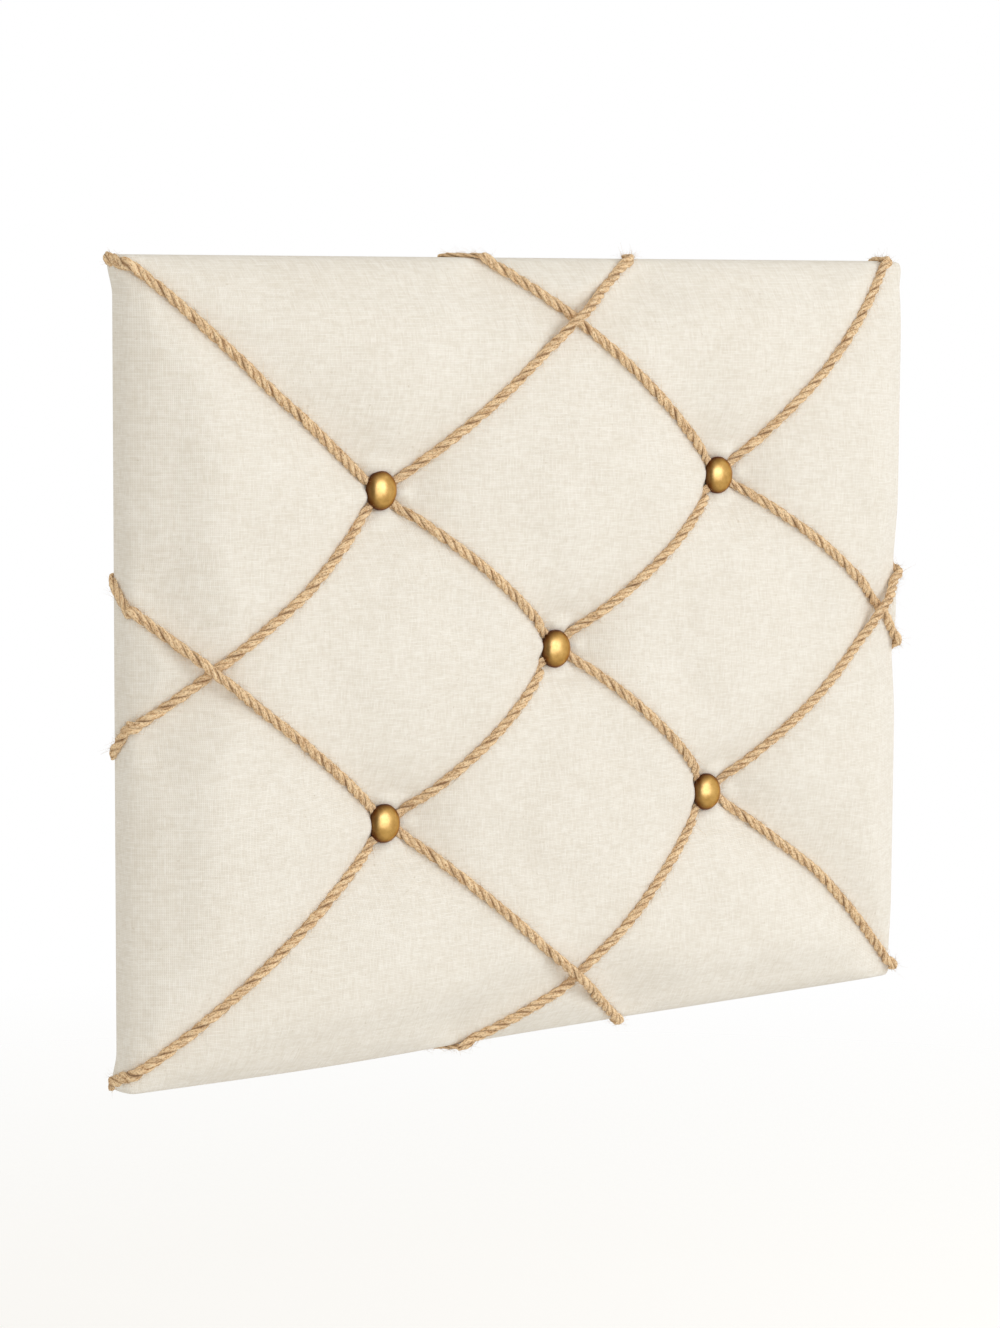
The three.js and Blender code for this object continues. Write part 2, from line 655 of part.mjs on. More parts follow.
const cordStaples = CORDS.flatMap((cord) => ['start', 'end'].map((end) => {
  const place = cord[end];
  const slideAt = (share) => place.sideDrift + place.backDrift * share;
  const at = edgePoint(place, BACK_RUN * CORD_STAPLE_PLACE, slideAt(CORD_STAPLE_PLACE));
  const run = edgePoint(place, BACK_RUN, slideAt(1)).sub(edgePoint(place, 0, slideAt(0))).normalize();
  return {
    name: `${cord.name.replace('cord_', 'cord_staple_')}_${end}`,
    at, along: new THREE.Vector2(-run.y, run.x), wire: CORD_STAPLE_WIRE, inner: CORD_RADIUS + GAP,
    backLevel: CORD_STAPLE_BACK, tipLevel: LINEN_THICK + CORD_STAPLE_GRIP,
  };
}));

const HEM_LINE = (SHEET_INSET + HEM_WIDTH) / 2;
const hemStaple = (name, edge, at) => ({
  name: `hem_staple_${name}`,
  at: edgePoint({ edge, at }, HEM_LINE, 0), along: EDGES[edge].along, wire: HEM_STAPLE_WIRE,
  inner: HEM_STAPLE_SPAN / 2, backLevel: -HEM_STAPLE_WIRE, tipLevel: LINEN_THICK + HEM_STAPLE_GRIP,
});
const hemStaples = [
  hemStaple('top_left', 'top', -NAIL_COLUMN), hemStaple('top_right', 'top', NAIL_COLUMN),
  hemStaple('bottom_left', 'bottom', -NAIL_COLUMN), hemStaple('bottom_right', 'bottom', NAIL_COLUMN),
  hemStaple('left', 'left', 0), hemStaple('right', 'right', 0),
];

// Nails: a hollow brass dome, and a steel pin whose flat head closes the dome
const nailHole = (fromLevel, toLevel) => Object.values(NAILS).map(
  ({ x, y }) => drill(x, y, PIN_RADIUS + GAP, fromLevel, toLevel, PIN_HOLE_SIDES));

function domeOutline(rim) {
  const outline = [];
  const inner = NAIL_RADIUS - NAIL_SHELL;
  for (let i = 0; i <= DOME_STEPS; i += 1) {
    const angle = i / DOME_STEPS * Math.PI / 2;
    outline.push([NAIL_RADIUS * Math.sin(angle), rim + NAIL_RISE * Math.cos(angle)]);
  }
  for (let i = DOME_STEPS; i >= 0; i -= 1) {
    const angle = i / DOME_STEPS * Math.PI / 2;
    outline.push([inner * Math.sin(angle), rim + (NAIL_RISE - NAIL_SHELL) * Math.cos(angle)]);
  }
  return outline;
}

function pinOutline(rim) {
  const inner = NAIL_RADIUS - NAIL_SHELL;
  const lean = (PIN_HEAD_THICK + GAP) / (NAIL_RISE - NAIL_SHELL);
  const headRadius = inner * Math.sqrt(1 - lean * lean) - 2 * GAP;
  const tip = BOARD_FRONT - PIN_GRIP;
  return [[0, rim + PIN_HEAD_THICK], [headRadius, rim + PIN_HEAD_THICK], [headRadius, rim], [PIN_RADIUS, rim],
    [PIN_RADIUS, tip + PIN_POINT], [0, tip]];
}

// Hangers: a strip curled round the ring's bar, and the D-shaped ring of round wire
function strapGeometry(x) {
  const curlEnd = THREE.MathUtils.degToRad(CURL_DEGREES);
  const shape = new THREE.Shape();
  shape.moveTo(-STRAP_LENGTH, -CURL_OUTER);
  shape.lineTo(0, -CURL_OUTER);
  shape.absarc(0, 0, CURL_OUTER, -Math.PI / 2, curlEnd, false);
  shape.absarc(0, 0, CURL_INNER, curlEnd, -Math.PI / 2, true);
  shape.lineTo(-STRAP_LENGTH, -CURL_INNER);
  const options = { depth: STRAP_WIDTH, bevelEnabled: false, steps: 1, curveSegments: CURL_STEPS };
  const strip = new THREE.ExtrudeGeometry(shape, options);
  const axes = new THREE.Matrix4().makeBasis(
    new THREE.Vector3(0, 0, 1), new THREE.Vector3(0, 1, 0), new THREE.Vector3(-1, 0, 0));
  strip.applyMatrix4(axes).translate(x + STRAP_WIDTH / 2, BAR_Y, HANGER_Z);
  const [front, back] = [SHEET_BACK + STRAP_THICK, SHEET_BACK - 2 * STRAP_THICK];
  return cut(strip, [drill(x, HANGER_Z - SCREW_DROP, SCREW_RADIUS + GAP, front, back, SCREW_SIDES)]);
}

function ringGeometry(x) {
  const bar = RING_HALF_WIDTH - RING_CORNER;
  const path = new THREE.Path();
  path.moveTo(-bar, 0);
  path.lineTo(bar, 0);
  path.absarc(bar, RING_CORNER, RING_CORNER, -Math.PI / 2, 0, false);
  path.lineTo(RING_HALF_WIDTH, RING_RISE);
  path.absarc(0, RING_RISE, RING_HALF_WIDTH, 0, Math.PI, false);
  path.lineTo(-RING_HALF_WIDTH, RING_CORNER);
  path.absarc(-bar, RING_CORNER, RING_CORNER, Math.PI, Math.PI * 1.5, false);
  const centre = path.getSpacedPoints(RING_STEPS).slice(0, RING_STEPS);
  const points = [];
  const triangles = [];
  centre.forEach((p, i) => {
    const before = centre[(i + RING_STEPS - 1) % RING_STEPS];
    const after = centre[(i + 1) % RING_STEPS];
    const travel = after.clone().sub(before).normalize();
    for (let k = 0; k < RING_SIDES; k += 1) {
      const turn = k * 2 * Math.PI / RING_SIDES;
      const outwards = RING_WIRE_RADIUS * Math.cos(turn);
      const y = BAR_Y + RING_WIRE_RADIUS * Math.sin(turn);
      points.push(new THREE.Vector3(x + p.x + travel.y * outwards, y, HANGER_Z + p.y - travel.x * outwards));
      const next = (k + 1) % RING_SIDES;
      const ahead = (i + 1) % RING_STEPS;
      const [a, b, c, d] = [[i, k], [i, next], [ahead, next], [ahead, k]].map(([r, s]) => r * RING_SIDES + s);
      triangles.push(a, b, d, b, c, d);
    }
  });
  return meshOf(points, triangles);
}

const screwSeat = SHEET_BACK - STRAP_THICK;
const SCREW_OUTLINE = [[0, LINEN_THICK + SCREW_GRIP], [SCREW_RADIUS, LINEN_THICK + SCREW_GRIP - SCREW_RADIUS],
  [SCREW_RADIUS, screwSeat], [SCREW_HEAD_RADIUS, screwSeat],
  [SCREW_HEAD_TOP, screwSeat - SCREW_HEAD_RISE], [0, screwSeat - SCREW_HEAD_RISE]];
const BUMPER_OUTLINE = [[0, SHEET_BACK], [BUMPER_RADIUS, SHEET_BACK],
  [BUMPER_RADIUS - BUMPER_TAPER, WALL_LEVEL], [0, WALL_LEVEL]];

// Board
const SIDES = { left: -1, right: 1 };
const screwTip = LINEN_THICK + SCREW_GRIP + GAP;
const screwHoles = Object.values(SIDES).map((side) => drill(
  side * HANGER_X, HANGER_Z - SCREW_DROP, SCREW_RADIUS + GAP, screwSeat, screwTip, SCREW_HOLE_SIDES));
const boardInset = LINEN_THICK + GAP;
const panel = new THREE.BoxGeometry(WIDTH - 2 * boardInset, BOARD_THICK, HEIGHT - 2 * boardInset);
panel.translate(0, yAt(LINEN_THICK + BOARD_THICK / 2), 0);
const stapleCuts = [...cordStaples, ...hemStaples].flatMap(stapleHoles);
const pinCuts = nailHole(BOARD_FRONT - PIN_GRIP - GAP, BOARD_FRONT + GAP);
addPiece('fibre_board', cut(panel, [...stapleCuts, ...pinCuts, ...screwHoles]), FIBREBOARD);

addPiece('foam_pad', cut(foamGeometry(), nailHole(BOARD_FRONT - GAP, CROWN_LEVEL)), FOAM);
const linenCuts = [...nailHole(BOARD_FRONT, CROWN_LEVEL), ...hemStaples.flatMap(stapleHoles)];
addPiece('linen_cover', cut(linenGeometry(), linenCuts), LINEN);

const sheet = new THREE.BoxGeometry(WIDTH - 2 * SHEET_INSET, SHEET_THICK, HEIGHT - 2 * SHEET_INSET);
sheet.translate(0, yAt(SHEET_BACK + SHEET_THICK / 2), 0);
addPiece('dust_sheet', cut(sheet, [...cordStaples.flatMap(stapleHoles), ...screwHoles]), KRAFT);

// Cords, nails and fasteners
for (const cord of CORDS) addPiece(cord.name, cordGeometry(cord), JUTE);
for (const [name, { x, y }] of Object.entries(NAILS)) {
  addPiece(`nail_dome_${name}`, turned(domeOutline(rimLevels[name]), x, y, DOME_SIDES), BRASS);
  addPiece(`nail_pin_${name}`, turned(pinOutline(rimLevels[name]), x, y, PIN_SIDES), STEEL);
}
for (const staple of cordStaples) addPiece(staple.name, stapleGeometry(staple), STEEL);
for (const staple of hemStaples) addPiece(staple.name, stapleGeometry(staple), STEEL);

// Hangers and bumpers
for (const [name, side] of Object.entries(SIDES)) {
  const x = side * HANGER_X;
  addPiece(`hanger_strap_${name}`, strapGeometry(x), STEEL);
  addPiece(`hanger_ring_${name}`, ringGeometry(x), STEEL);
  addPiece(`hanger_screw_${name}`, turned(SCREW_OUTLINE, x, HANGER_Z - SCREW_DROP, SCREW_SIDES), STEEL);
  for (const [row, rise] of Object.entries({ upper: 1, lower: -1 })) {
    const bumper = turned(BUMPER_OUTLINE, side * BUMPER_X, rise * BUMPER_Z, BUMPER_SIDES);
    addPiece(`bumper_${row}_${name}`, bumper, RUBBER);
  }
}

export default board;
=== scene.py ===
"""Dresses a tufted bulletin board: linen over foam on a fibreboard, laced with jute cords under brass domes.

Metres, in the part's own frame: +X is to the viewer's right, +Z is up, the front faces -Y, the wall is Y = 0.
A place on the board is given in plan, as x and z from the board's middle, with a level that is measured
forwards from the back of the linen hem.
"""
import logging
import math
from collections.abc import Callable
from dataclasses import dataclass, field
from enum import Enum
from functools import cache

import bpy
import numpy as np
from mathutils import Matrix, Vector


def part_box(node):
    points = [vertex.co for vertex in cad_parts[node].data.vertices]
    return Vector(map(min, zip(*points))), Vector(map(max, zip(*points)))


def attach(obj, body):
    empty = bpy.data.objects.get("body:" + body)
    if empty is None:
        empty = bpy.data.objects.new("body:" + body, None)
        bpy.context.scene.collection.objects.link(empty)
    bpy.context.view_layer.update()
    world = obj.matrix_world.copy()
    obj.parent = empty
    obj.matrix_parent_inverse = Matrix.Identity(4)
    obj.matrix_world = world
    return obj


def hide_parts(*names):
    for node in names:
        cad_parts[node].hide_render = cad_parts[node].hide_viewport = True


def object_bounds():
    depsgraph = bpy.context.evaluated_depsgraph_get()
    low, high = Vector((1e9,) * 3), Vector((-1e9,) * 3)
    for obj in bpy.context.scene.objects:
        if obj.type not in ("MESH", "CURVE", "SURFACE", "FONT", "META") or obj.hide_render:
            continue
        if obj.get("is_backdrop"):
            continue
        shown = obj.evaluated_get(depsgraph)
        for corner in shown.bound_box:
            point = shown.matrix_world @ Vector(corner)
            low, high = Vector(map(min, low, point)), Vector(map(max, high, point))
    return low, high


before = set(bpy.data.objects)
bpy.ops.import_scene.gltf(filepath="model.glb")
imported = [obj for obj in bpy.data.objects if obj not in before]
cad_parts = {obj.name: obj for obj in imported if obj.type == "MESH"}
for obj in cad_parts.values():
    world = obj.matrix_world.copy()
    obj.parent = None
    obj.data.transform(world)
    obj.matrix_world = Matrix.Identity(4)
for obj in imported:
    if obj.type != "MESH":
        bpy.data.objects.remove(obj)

# Short names for types
Array = np.ndarray
Material = bpy.types.Material
Piece = bpy.types.Object
Socket = bpy.types.NodeSocket
Pair = tuple[float, float]
Triple = tuple[float, float, float]
Colour = tuple[float, float, float, float]

log = logging.getLogger("tufted_board")
FRONT = np.array([0.0, -1.0, 0.0])
BACK = np.array([0.0, 1.0, 0.0])


# Choices


class Edge(Enum):
    """An edge of the board, as its outward direction in plan."""

    TOP = (0, 1)
    BOTTOM = (0, -1)
    LEFT = (-1, 0)
    RIGHT = (1, 0)


class Slot(Enum):
    """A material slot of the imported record."""

    LINEN = "linen"
    JUTE = "jute"
    BRASS = "antique_brass"
    FOAM = "foam"
    FIBREBOARD = "fibreboard"
    KRAFT = "kraft_paper"
    STEEL = "steel"
    RUBBER = "rubber"


class Body(Enum):
    """A body that pieces ride on."""

    BOARD = "board"
    RING_LEFT = "ring_left"
    RING_RIGHT = "ring_right"


# Small sums


def smoothstep(value: Array, low: float, high: float) -> Array:
    """Eases numbers from 0 at low to 1 at high."""
    share = np.clip((value - low) / (high - low), 0, 1)
    return share * share * (3 - 2 * share)


def blended(low: Array, high: Array, share: Array) -> Array:
    """Goes from low at share 0 to high at share 1."""
    return low + (high - low) * share


def unit(vectors: Array) -> Array:
    """Scales vectors to length 1."""
    return vectors / np.linalg.norm(vectors, axis=-1, keepdims=True)


def softened(values: Array, reach: int) -> Array:
    """Averages a row of numbers with its neighbours, keeping both ends.

    Args:
        values: Numbers along a line, or points, one per row.
        reach: How many neighbours each way count.

    Returns:
        The averaged row.
    """
    weights = np.hanning(2 * reach + 3)[1:-1]
    weights /= weights.sum()
    columns = values.reshape(len(values), -1)
    before = 2 * columns[:1] - columns[reach:0:-1]
    after = 2 * columns[-1:] - columns[-2:-reach - 2:-1]
    padded = np.concatenate([before, columns, after])
    smooth = [np.convolve(column, weights, mode="valid") for column in padded.T]
    return np.stack(smooth, axis=-1).reshape(values.shape)


def run_lengths(points: Array) -> Array:
    """Distance run along a line of points, from 0 at the first."""
    steps = np.linalg.norm(np.diff(points, axis=0), axis=1)
    return np.concatenate([[0.0], np.cumsum(steps)])


def smooth_line(points: Array, step: float) -> tuple[Array, Array, Array]:
    """Draws one smooth curve through points.

    Args:
        points: The points, one per row.
        step: Distance between the places returned.

    Returns:
        Places along the curve, the run of each, and the run at which the curve passes each given point.
    """
    runs = run_lengths(points)
    gaps = np.diff(runs)[:, None]
    slopes = np.diff(points, axis=0) / gaps
    inner = (slopes[:-1] * gaps[1:] + slopes[1:] * gaps[:-1]) / (gaps[:-1] + gaps[1:])
    tangents = np.concatenate([slopes[:1], inner, slopes[-1:]])
    places = np.linspace(0, runs[-1], int(runs[-1] / step) + 1)
    left = np.clip(np.searchsorted(runs, places, side="right") - 1, 0, len(points) - 2)
    width = gaps[left]
    share = (places - runs[left])[:, None] / width
    rest = 1 - share
    start = (1 + 2 * share) * rest ** 2 * points[left] + share * rest ** 2 * width * tangents[left]
    end = share ** 2 * (3 - 2 * share) * points[left + 1] - share ** 2 * rest * width * tangents[left + 1]
    return start + end, places, runs


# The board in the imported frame


def plan_middle(name: str) -> Pair:
    """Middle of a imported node's box, across and up."""
    low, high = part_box(name)
    return (low.x + high.x) / 2, (low.z + high.z) / 2


@dataclass(frozen=True)
class BoardFrame:
    """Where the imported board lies, read from its linen cover and its panel."""

    half_width: float
    half_height: float
    middle_z: float
    hem_back: float
    board_front: float

    @classmethod
    def read(cls) -> "BoardFrame":
        """Reads the board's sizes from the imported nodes.

        Returns:
            The frame.
        """
        low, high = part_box("linen_cover")
        front = high.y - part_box("fibre_board")[0].y
        return cls(high.x, (high.z - low.z) / 2, (high.z + low.z) / 2, high.y, front)

    def place(self, x: Array, z: Array, level: Array) -> Array:
        """Points of the part's frame, from places in plan and levels, along a new last axis."""
        across, up, front = np.broadcast_arrays(x, z, level)
        return np.stack([across, self.hem_back - front, up + self.middle_z], axis=-1)

    def from_edge(self, x: Array, z: Array) -> Array:
        """Distance in plan to the nearest edge."""
        return np.minimum(self.half_width - np.abs(x), self.half_height - np.abs(z))

    def half(self, edge: Edge) -> float:
        """Half the board's size towards an edge."""
        return self.half_width if edge.value[0] else self.half_height

    def on_edge(self, edge: Edge, at: float) -> Array:
        """Finds the plan place of a point of an edge.

        Args:
            edge: The edge.
            at: Place along the edge, from its middle.

        Returns:
            The place as x and z.
        """
        outward = np.array(edge.value, float)
        along = np.abs(outward[::-1])
        return outward * self.half(edge) + along * at


@dataclass(frozen=True)
class Nail:
    """A domed nail: where it stands in plan, the level of its rim, and its dome's sizes."""

    name: str
    place: Array
    rim: float
    radius: float
    rise: float

    @classmethod
    def read(cls, name: str, board: BoardFrame) -> "Nail":
        """Reads a nail from its packed dome.

        Args:
            name: The nail's name, without the words before it.
            board: Where the board lies.

        Returns:
            The nail.
        """
        low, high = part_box(f"nail_dome_{name}")
        x, z = plan_middle(f"nail_dome_{name}")
        place = np.array([x, z - board.middle_z])
        return cls(name, place, board.hem_back - high.y, (high.x - low.x) / 2, high.y - low.y)


# Routes of the cords, as they were laced by hand


@dataclass(frozen=True)
class Wrap:
    """Where a cord goes round an edge: its place along the front edge, and its drift over the side."""

    edge: Edge
    at: float
    side_drift: float


@dataclass(frozen=True)
class Route:
    """A cord from edge to edge, and how far it bows forwards between one hold and the next."""

    name: str
    bows: tuple[float, ...]
    start: Wrap
    by: tuple[str, ...]
    end: Wrap


# Width of a dome as a share of its height in plan
DOME_NARROWED = 0.89
NAIL_NAMES = ("upper_left", "upper_right", "centre", "lower_left", "lower_right")
# How far from its nail each pair of cords was caught, across and up
NAIL_SLIPS = {
    "upper_left": (0.0015, -0.0020),
    "upper_right": (0.0033, 0.0005),
    "centre": (0.0028, 0.0018),
    "lower_left": (0.0045, -0.0005),
    "lower_right": (0.0042, 0.0),
}
BARE_POINTS = {
    "top": (0.0035, 0.173),
    "left": (-0.2185, 0.002),
    "right": (0.2275, 0.0125),
    "bottom": (0.0065, -0.1720),
    "bend_top_left": (-0.1850, 0.1395),
    "bend_bottom_right": (0.184, -0.134),
    "bend_above_left": (-0.163, 0.041),
    "bend_below_top": (-0.053, 0.128),
    "bend_after_top": (0.0596, 0.1312),
    "bend_above_right": (0.1724, 0.0517),
    "bend_top_right": (0.1795, 0.1445),
    "bend_below_right": (0.1697, -0.0365),
}
# Each crossing without a nail: the cord on top, then the cord below
CROSSINGS = {
    "top": ("rising_upper", "falling_upper"),
    "left": ("falling_lower", "rising_upper"),
    "right": ("rising_lower", "falling_upper"),
    "bottom": ("falling_lower", "rising_lower"),
}
ROUTES = (
    Route(
        "falling_main", (0.0125, 0.020, 0.022, 0.013), Wrap(Edge.LEFT, 0.1986, 0.0026),
        ("bend_top_left", "upper_left", "centre", "lower_right", "bend_bottom_right"),
        Wrap(Edge.RIGHT, -0.196, 0.0),
    ),
    Route(
        "falling_upper", (0.0205, 0.022), Wrap(Edge.TOP, -0.043, -0.012),
        ("top", "bend_after_top", "upper_right", "bend_above_right", "right"),
        Wrap(Edge.RIGHT, -0.010, -0.009),
    ),
    Route(
        "falling_lower", (0.0195, 0.0225), Wrap(Edge.LEFT, 0.033, 0.014),
        ("left", "lower_left", "bottom"), Wrap(Edge.BOTTOM, 0.052, 0.009),
    ),
    Route(
        "rising_main", (0.0175, 0.0205, 0.020, 0.0185), Wrap(Edge.LEFT, -0.1928, -0.0065),
        ("lower_left", "centre", "upper_right", "bend_top_right"), Wrap(Edge.TOP, 0.241, 0.008),
    ),
    Route(
        "rising_upper", (0.019, 0.021), Wrap(Edge.LEFT, -0.023, -0.014),
        ("left", "bend_above_left", "upper_left", "bend_below_top", "top"), Wrap(Edge.TOP, 0.054, 0.014),
    ),
    Route(
        "rising_lower", (0.023, 0.0225), Wrap(Edge.BOTTOM, -0.054, -0.012),
        ("bottom", "lower_right", "bend_below_right", "right"), Wrap(Edge.RIGHT, 0.029, 0.009),
    ),
)


# Form of the padded front


@dataclass(frozen=True)
class Press:
    """One straight stretch of a cord in plan, with the level to which it draws the padding."""

    start: Array
    end: Array
    shares: Pair
    levels: Pair
    bow: float

    def reach(self, x: Array, z: Array) -> tuple[Array, Array]:
        """Finds how far places lie from the stretch, and the level of the pressed linen beside them.

        Args:
            x: Places across the board.
            z: Places up the board.

        Returns:
            Distances from the stretch, and levels.
        """
        run = self.end - self.start
        along = ((x - self.start[0]) * run[0] + (z - self.start[1]) * run[1]) / (run @ run)
        along = np.clip(along, 0, 1)
        away = np.hypot(x - self.start[0] - along * run[0], z - self.start[1] - along * run[1])
        share = blended(self.shares[0], self.shares[1], along)
        level = blended(self.levels[0], self.levels[1], share) + self.bow * 4 * share * (1 - share)
        return away, level


@dataclass
class PaddedForm:
    """The front of the linen: a crowned pillow, drawn in along the cords and at the nails."""

    board: BoardFrame
    nails: dict[str, Nail]
    edge_levels: Pair = (0.0145, 0.0172)
    tuft_level: float = 0.0183
    crown_level: float = 0.0410
    edge_round: float = 0.042
    valley_width: float = 0.022
    valley_power: int = 6
    channel_half: float = 0.0044
    channel_power: int = 4
    rim_gap: float = 0.0001
    cord_room: float = 0.0034
    nestle_rise: float = 0.0020
    nestle_band: Pair = (0.95, 1.12)
    press_band: Pair = (1.0, 1.6)
    puff_band: Pair = (1.5, 2.6)
    presses: list[list[Press]] = field(init=False)

    def __post_init__(self) -> None:
        """Lays out the stretches of every cord."""
        self.presses = [self.route_presses(route) for route in ROUTES]

    def point(self, name: str) -> Array:
        """Plan place where a cord passes a nail, a crossing or a bend."""
        nailed = name in self.nails
        return self.nails[name].place + NAIL_SLIPS[name] if nailed else np.array(BARE_POINTS[name])

    def plan(self, route: Route) -> list[Array]:
        """Plan points of a cord, from edge to edge."""
        ends = [self.board.on_edge(wrap.edge, wrap.at) for wrap in (route.start, route.end)]
        return [ends[0], *(self.point(name) for name in route.by), ends[1]]

    def hold_level(self, name: str | None) -> float:
        """Level of the linen at a nail, or at an edge where there is none."""
        return self.tuft_level if name else self.edge_level(0.0)

    def route_presses(self, route: Route) -> list[Press]:
        """Splits a cord into stretches between its holds.

        Args:
            route: The cord's route.

        Returns:
            The stretches in order.
        """
        points = self.plan(route)
        names = [None, *route.by, None]
        holds = [i for i, name in enumerate(names) if name is None or name in self.nails]
        presses = []
        for bow, first, last in zip(route.bows, holds, holds[1:]):
            runs = run_lengths(np.array(points[first:last + 1]))
            shares = runs / runs[-1]
            levels = tuple(self.hold_level(names[i]) for i in (first, last))
            for i in range(first, last):
                span = (shares[i - first], shares[i - first + 1])
                presses.append(Press(points[i], points[i + 1], span, levels, bow))
        return presses

    def edge_level(self, x: Array) -> Array:
        """Level at which the linen turns over the edge, fuller towards the right."""
        share = (x / self.board.half_width + 1) / 2
        return blended(*self.edge_levels, share)

    def edge_profile(self, distance: Array) -> Array:
        """Share of the full crown at a distance from an edge."""
        return 1 - (1 - np.clip(distance / self.edge_round, 0, 1)) ** 2

    def nearest_cord(self, x: Array, z: Array) -> Array:
        """Distance in plan to the nearest cord."""
        return np.min([press.reach(x, z)[0] for cord in self.presses for press in cord], axis=0)

    def nearest_nail(self, x: Array, z: Array) -> Array:
        """Distance in plan to the nearest nail."""
        return np.min([np.hypot(x - n.place[0], z - n.place[1]) for n in self.nails.values()], axis=0)

    def crown(self, x: Array, z: Array) -> Array:
        """Share of the full crown at places in plan."""
        return self.edge_profile(self.board.half_width - np.abs(x)) * self.edge_profile(
            self.board.half_height - np.abs(z))

    def level(self, x: Array, z: Array) -> Array:
        """Level of the front of the linen.

        Args:
            x: Places across the board.
            z: Places up the board.

        Returns:
            Levels forwards from the back of the hem.
        """
        pillow = blended(self.edge_level(x), self.crown_level, self.crown(x, z))
        drawn = np.zeros_like(pillow)
        for cord in self.presses:
            reaches = [press.reach(x, z) for press in cord]
            depths = [np.maximum(pillow - low, 0) * np.exp(-(away / self.valley_width) ** 2)
                      for away, low in reaches]
            drawn += np.max(depths, axis=0) ** self.valley_power
        level = pillow - drawn ** (1 / self.valley_power)
        channel = np.exp(-(self.nearest_cord(x, z) / self.channel_half) ** self.channel_power)
        for nail in self.nails.values():
            beyond = np.hypot((x - nail.place[0]) / DOME_NARROWED, z - nail.place[1]) / nail.radius
            nestle = self.nestle_rise * smoothstep(beyond, *self.nestle_band)
            target = nail.rim - blended(self.rim_gap - nestle, self.cord_room, channel)
            puff = 1 - smoothstep(beyond, *self.puff_band)
            press = 1 - smoothstep(beyond, *self.press_band)
            level = level + np.maximum(target - level, 0) * puff - np.maximum(level - target, 0) * press
        return level


# Shader nodes


def colour(red: int, green: int, blue: int) -> Colour:
    """Turns a colour as a screen shows it into the linear one that nodes take.

    Args:
        red: Its red, from 0 to 255.
        green: Its green.
        blue: Its blue.

    Returns:
        The linear colour, with an alpha of 1.
    """
    # The sRGB curve
    shares = [channel / 255 for channel in (red, green, blue)]
    linear = [s / 12.92 if s <= 0.04045 else ((s + 0.055) / 1.055) ** 2.4 for s in shares]
    return (*linear, 1.0)


class NodeTree:
    """A short way to add and join the nodes of a material, a world or a node group."""

    def __init__(self, tree: bpy.types.NodeTree) -> None:
        """Keeps the tree to work on."""
        self.tree = tree

    def add(self, kind: str, inputs: dict | None = None, **settings: object) -> bpy.types.Node:
        """Adds a node.

        Args:
            kind: The node's type name.
            inputs: Values or sockets for its inputs, by name or number.
            **settings: Its other settings.

        Returns:
            The new node.
        """
        node = self.tree.nodes.new(kind)
        for name, value in settings.items():
            setattr(node, name, value)
        for key, value in (inputs or {}).items():
            self.feed(node.inputs[key], value)
        return node

    def feed(self, socket: Socket, value: object) -> None:
        """Joins a socket to another one, or sets its value.

        Args:
            socket: The input.
            value: A socket or a plain value.
        """
        if isinstance(value, bpy.types.NodeSocket):
            self.tree.links.new(value, socket)
        else:
            socket.default_value = value

    def sum(self, operation: str, first: object, second: object = 0.0) -> Socket:
        """Adds a Math node and returns its result."""
        return self.add("ShaderNodeMath", {0: first, 1: second}, operation=operation).outputs[0]

    def spread(self, value: object, low: float, high: float) -> Socket:
        """Stretches a value so that low gives 0 and high gives 1, and cuts off the rest."""
        return self.add("ShaderNodeMapRange", {"Value": value, "From Min": low, "From Max": high}).outputs[0]

    def part(self, value: object, low: float, high: float, share: float) -> Socket:
        """Stretches a value from low to high and takes a share of the result."""
        return self.sum("MULTIPLY", self.spread(value, low, high), share)

    def mix(self, share: object, first: object, second: object) -> Socket:
        """Mixes two colours and returns the result."""
        return self.add("ShaderNodeMix", {0: share, 6: first, 7: second}, data_type="RGBA").outputs[2]

    def stretched(self, vector: object, scale: Triple) -> Socket:
        """Scales coordinates along each axis."""
        return self.add("ShaderNodeMapping", {"Vector": vector, "Scale": scale}).outputs[0]

    def noise(self, vector: object, scale: object, detail: float) -> Socket:
        """Adds a Noise node and returns its value."""
        inputs = {"Vector": vector, "Scale": scale, "Detail": detail}
        return self.add("ShaderNodeTexNoise", inputs).outputs[0]

    def group(self, group: bpy.types.NodeTree, inputs: dict) -> bpy.types.NodeOutputs:
        """Places a node group with its own values and returns its outputs."""
        return self.add("ShaderNodeGroup", inputs, node_tree=group).outputs

    def split(self, vector: object) -> bpy.types.NodeOutputs:
        """Splits coordinates into their three values."""
        return self.add("ShaderNodeSeparateXYZ", {0: vector}).outputs

    def piece_map(self, name: str) -> Socket:
        """Reads a piece's own UV map."""
        return self.add("ShaderNodeUVMap", uv_map=name).outputs[0]

    def object_place(self) -> Socket:
        """Reads places in the part's own frame."""
        return self.add("ShaderNodeTexCoord").outputs["Object"]

    def bump(self, shader: bpy.types.Node, height: object, depth: float, strength: float = 1.0) -> None:
        """Raises a shader's surface by a height."""
        made = self.add("ShaderNodeBump", {"Height": height, "Distance": depth, "Strength": strength})
        self.feed(shader.inputs["Normal"], made.outputs[0])

    def vary(self, socket: Socket, value: object, middle: float, spread: float) -> None:
        """Lets a value vary a socket about its middle."""
        self.feed(socket, self.sum("ADD", self.sum("MULTIPLY", value, spread), middle - spread / 2))


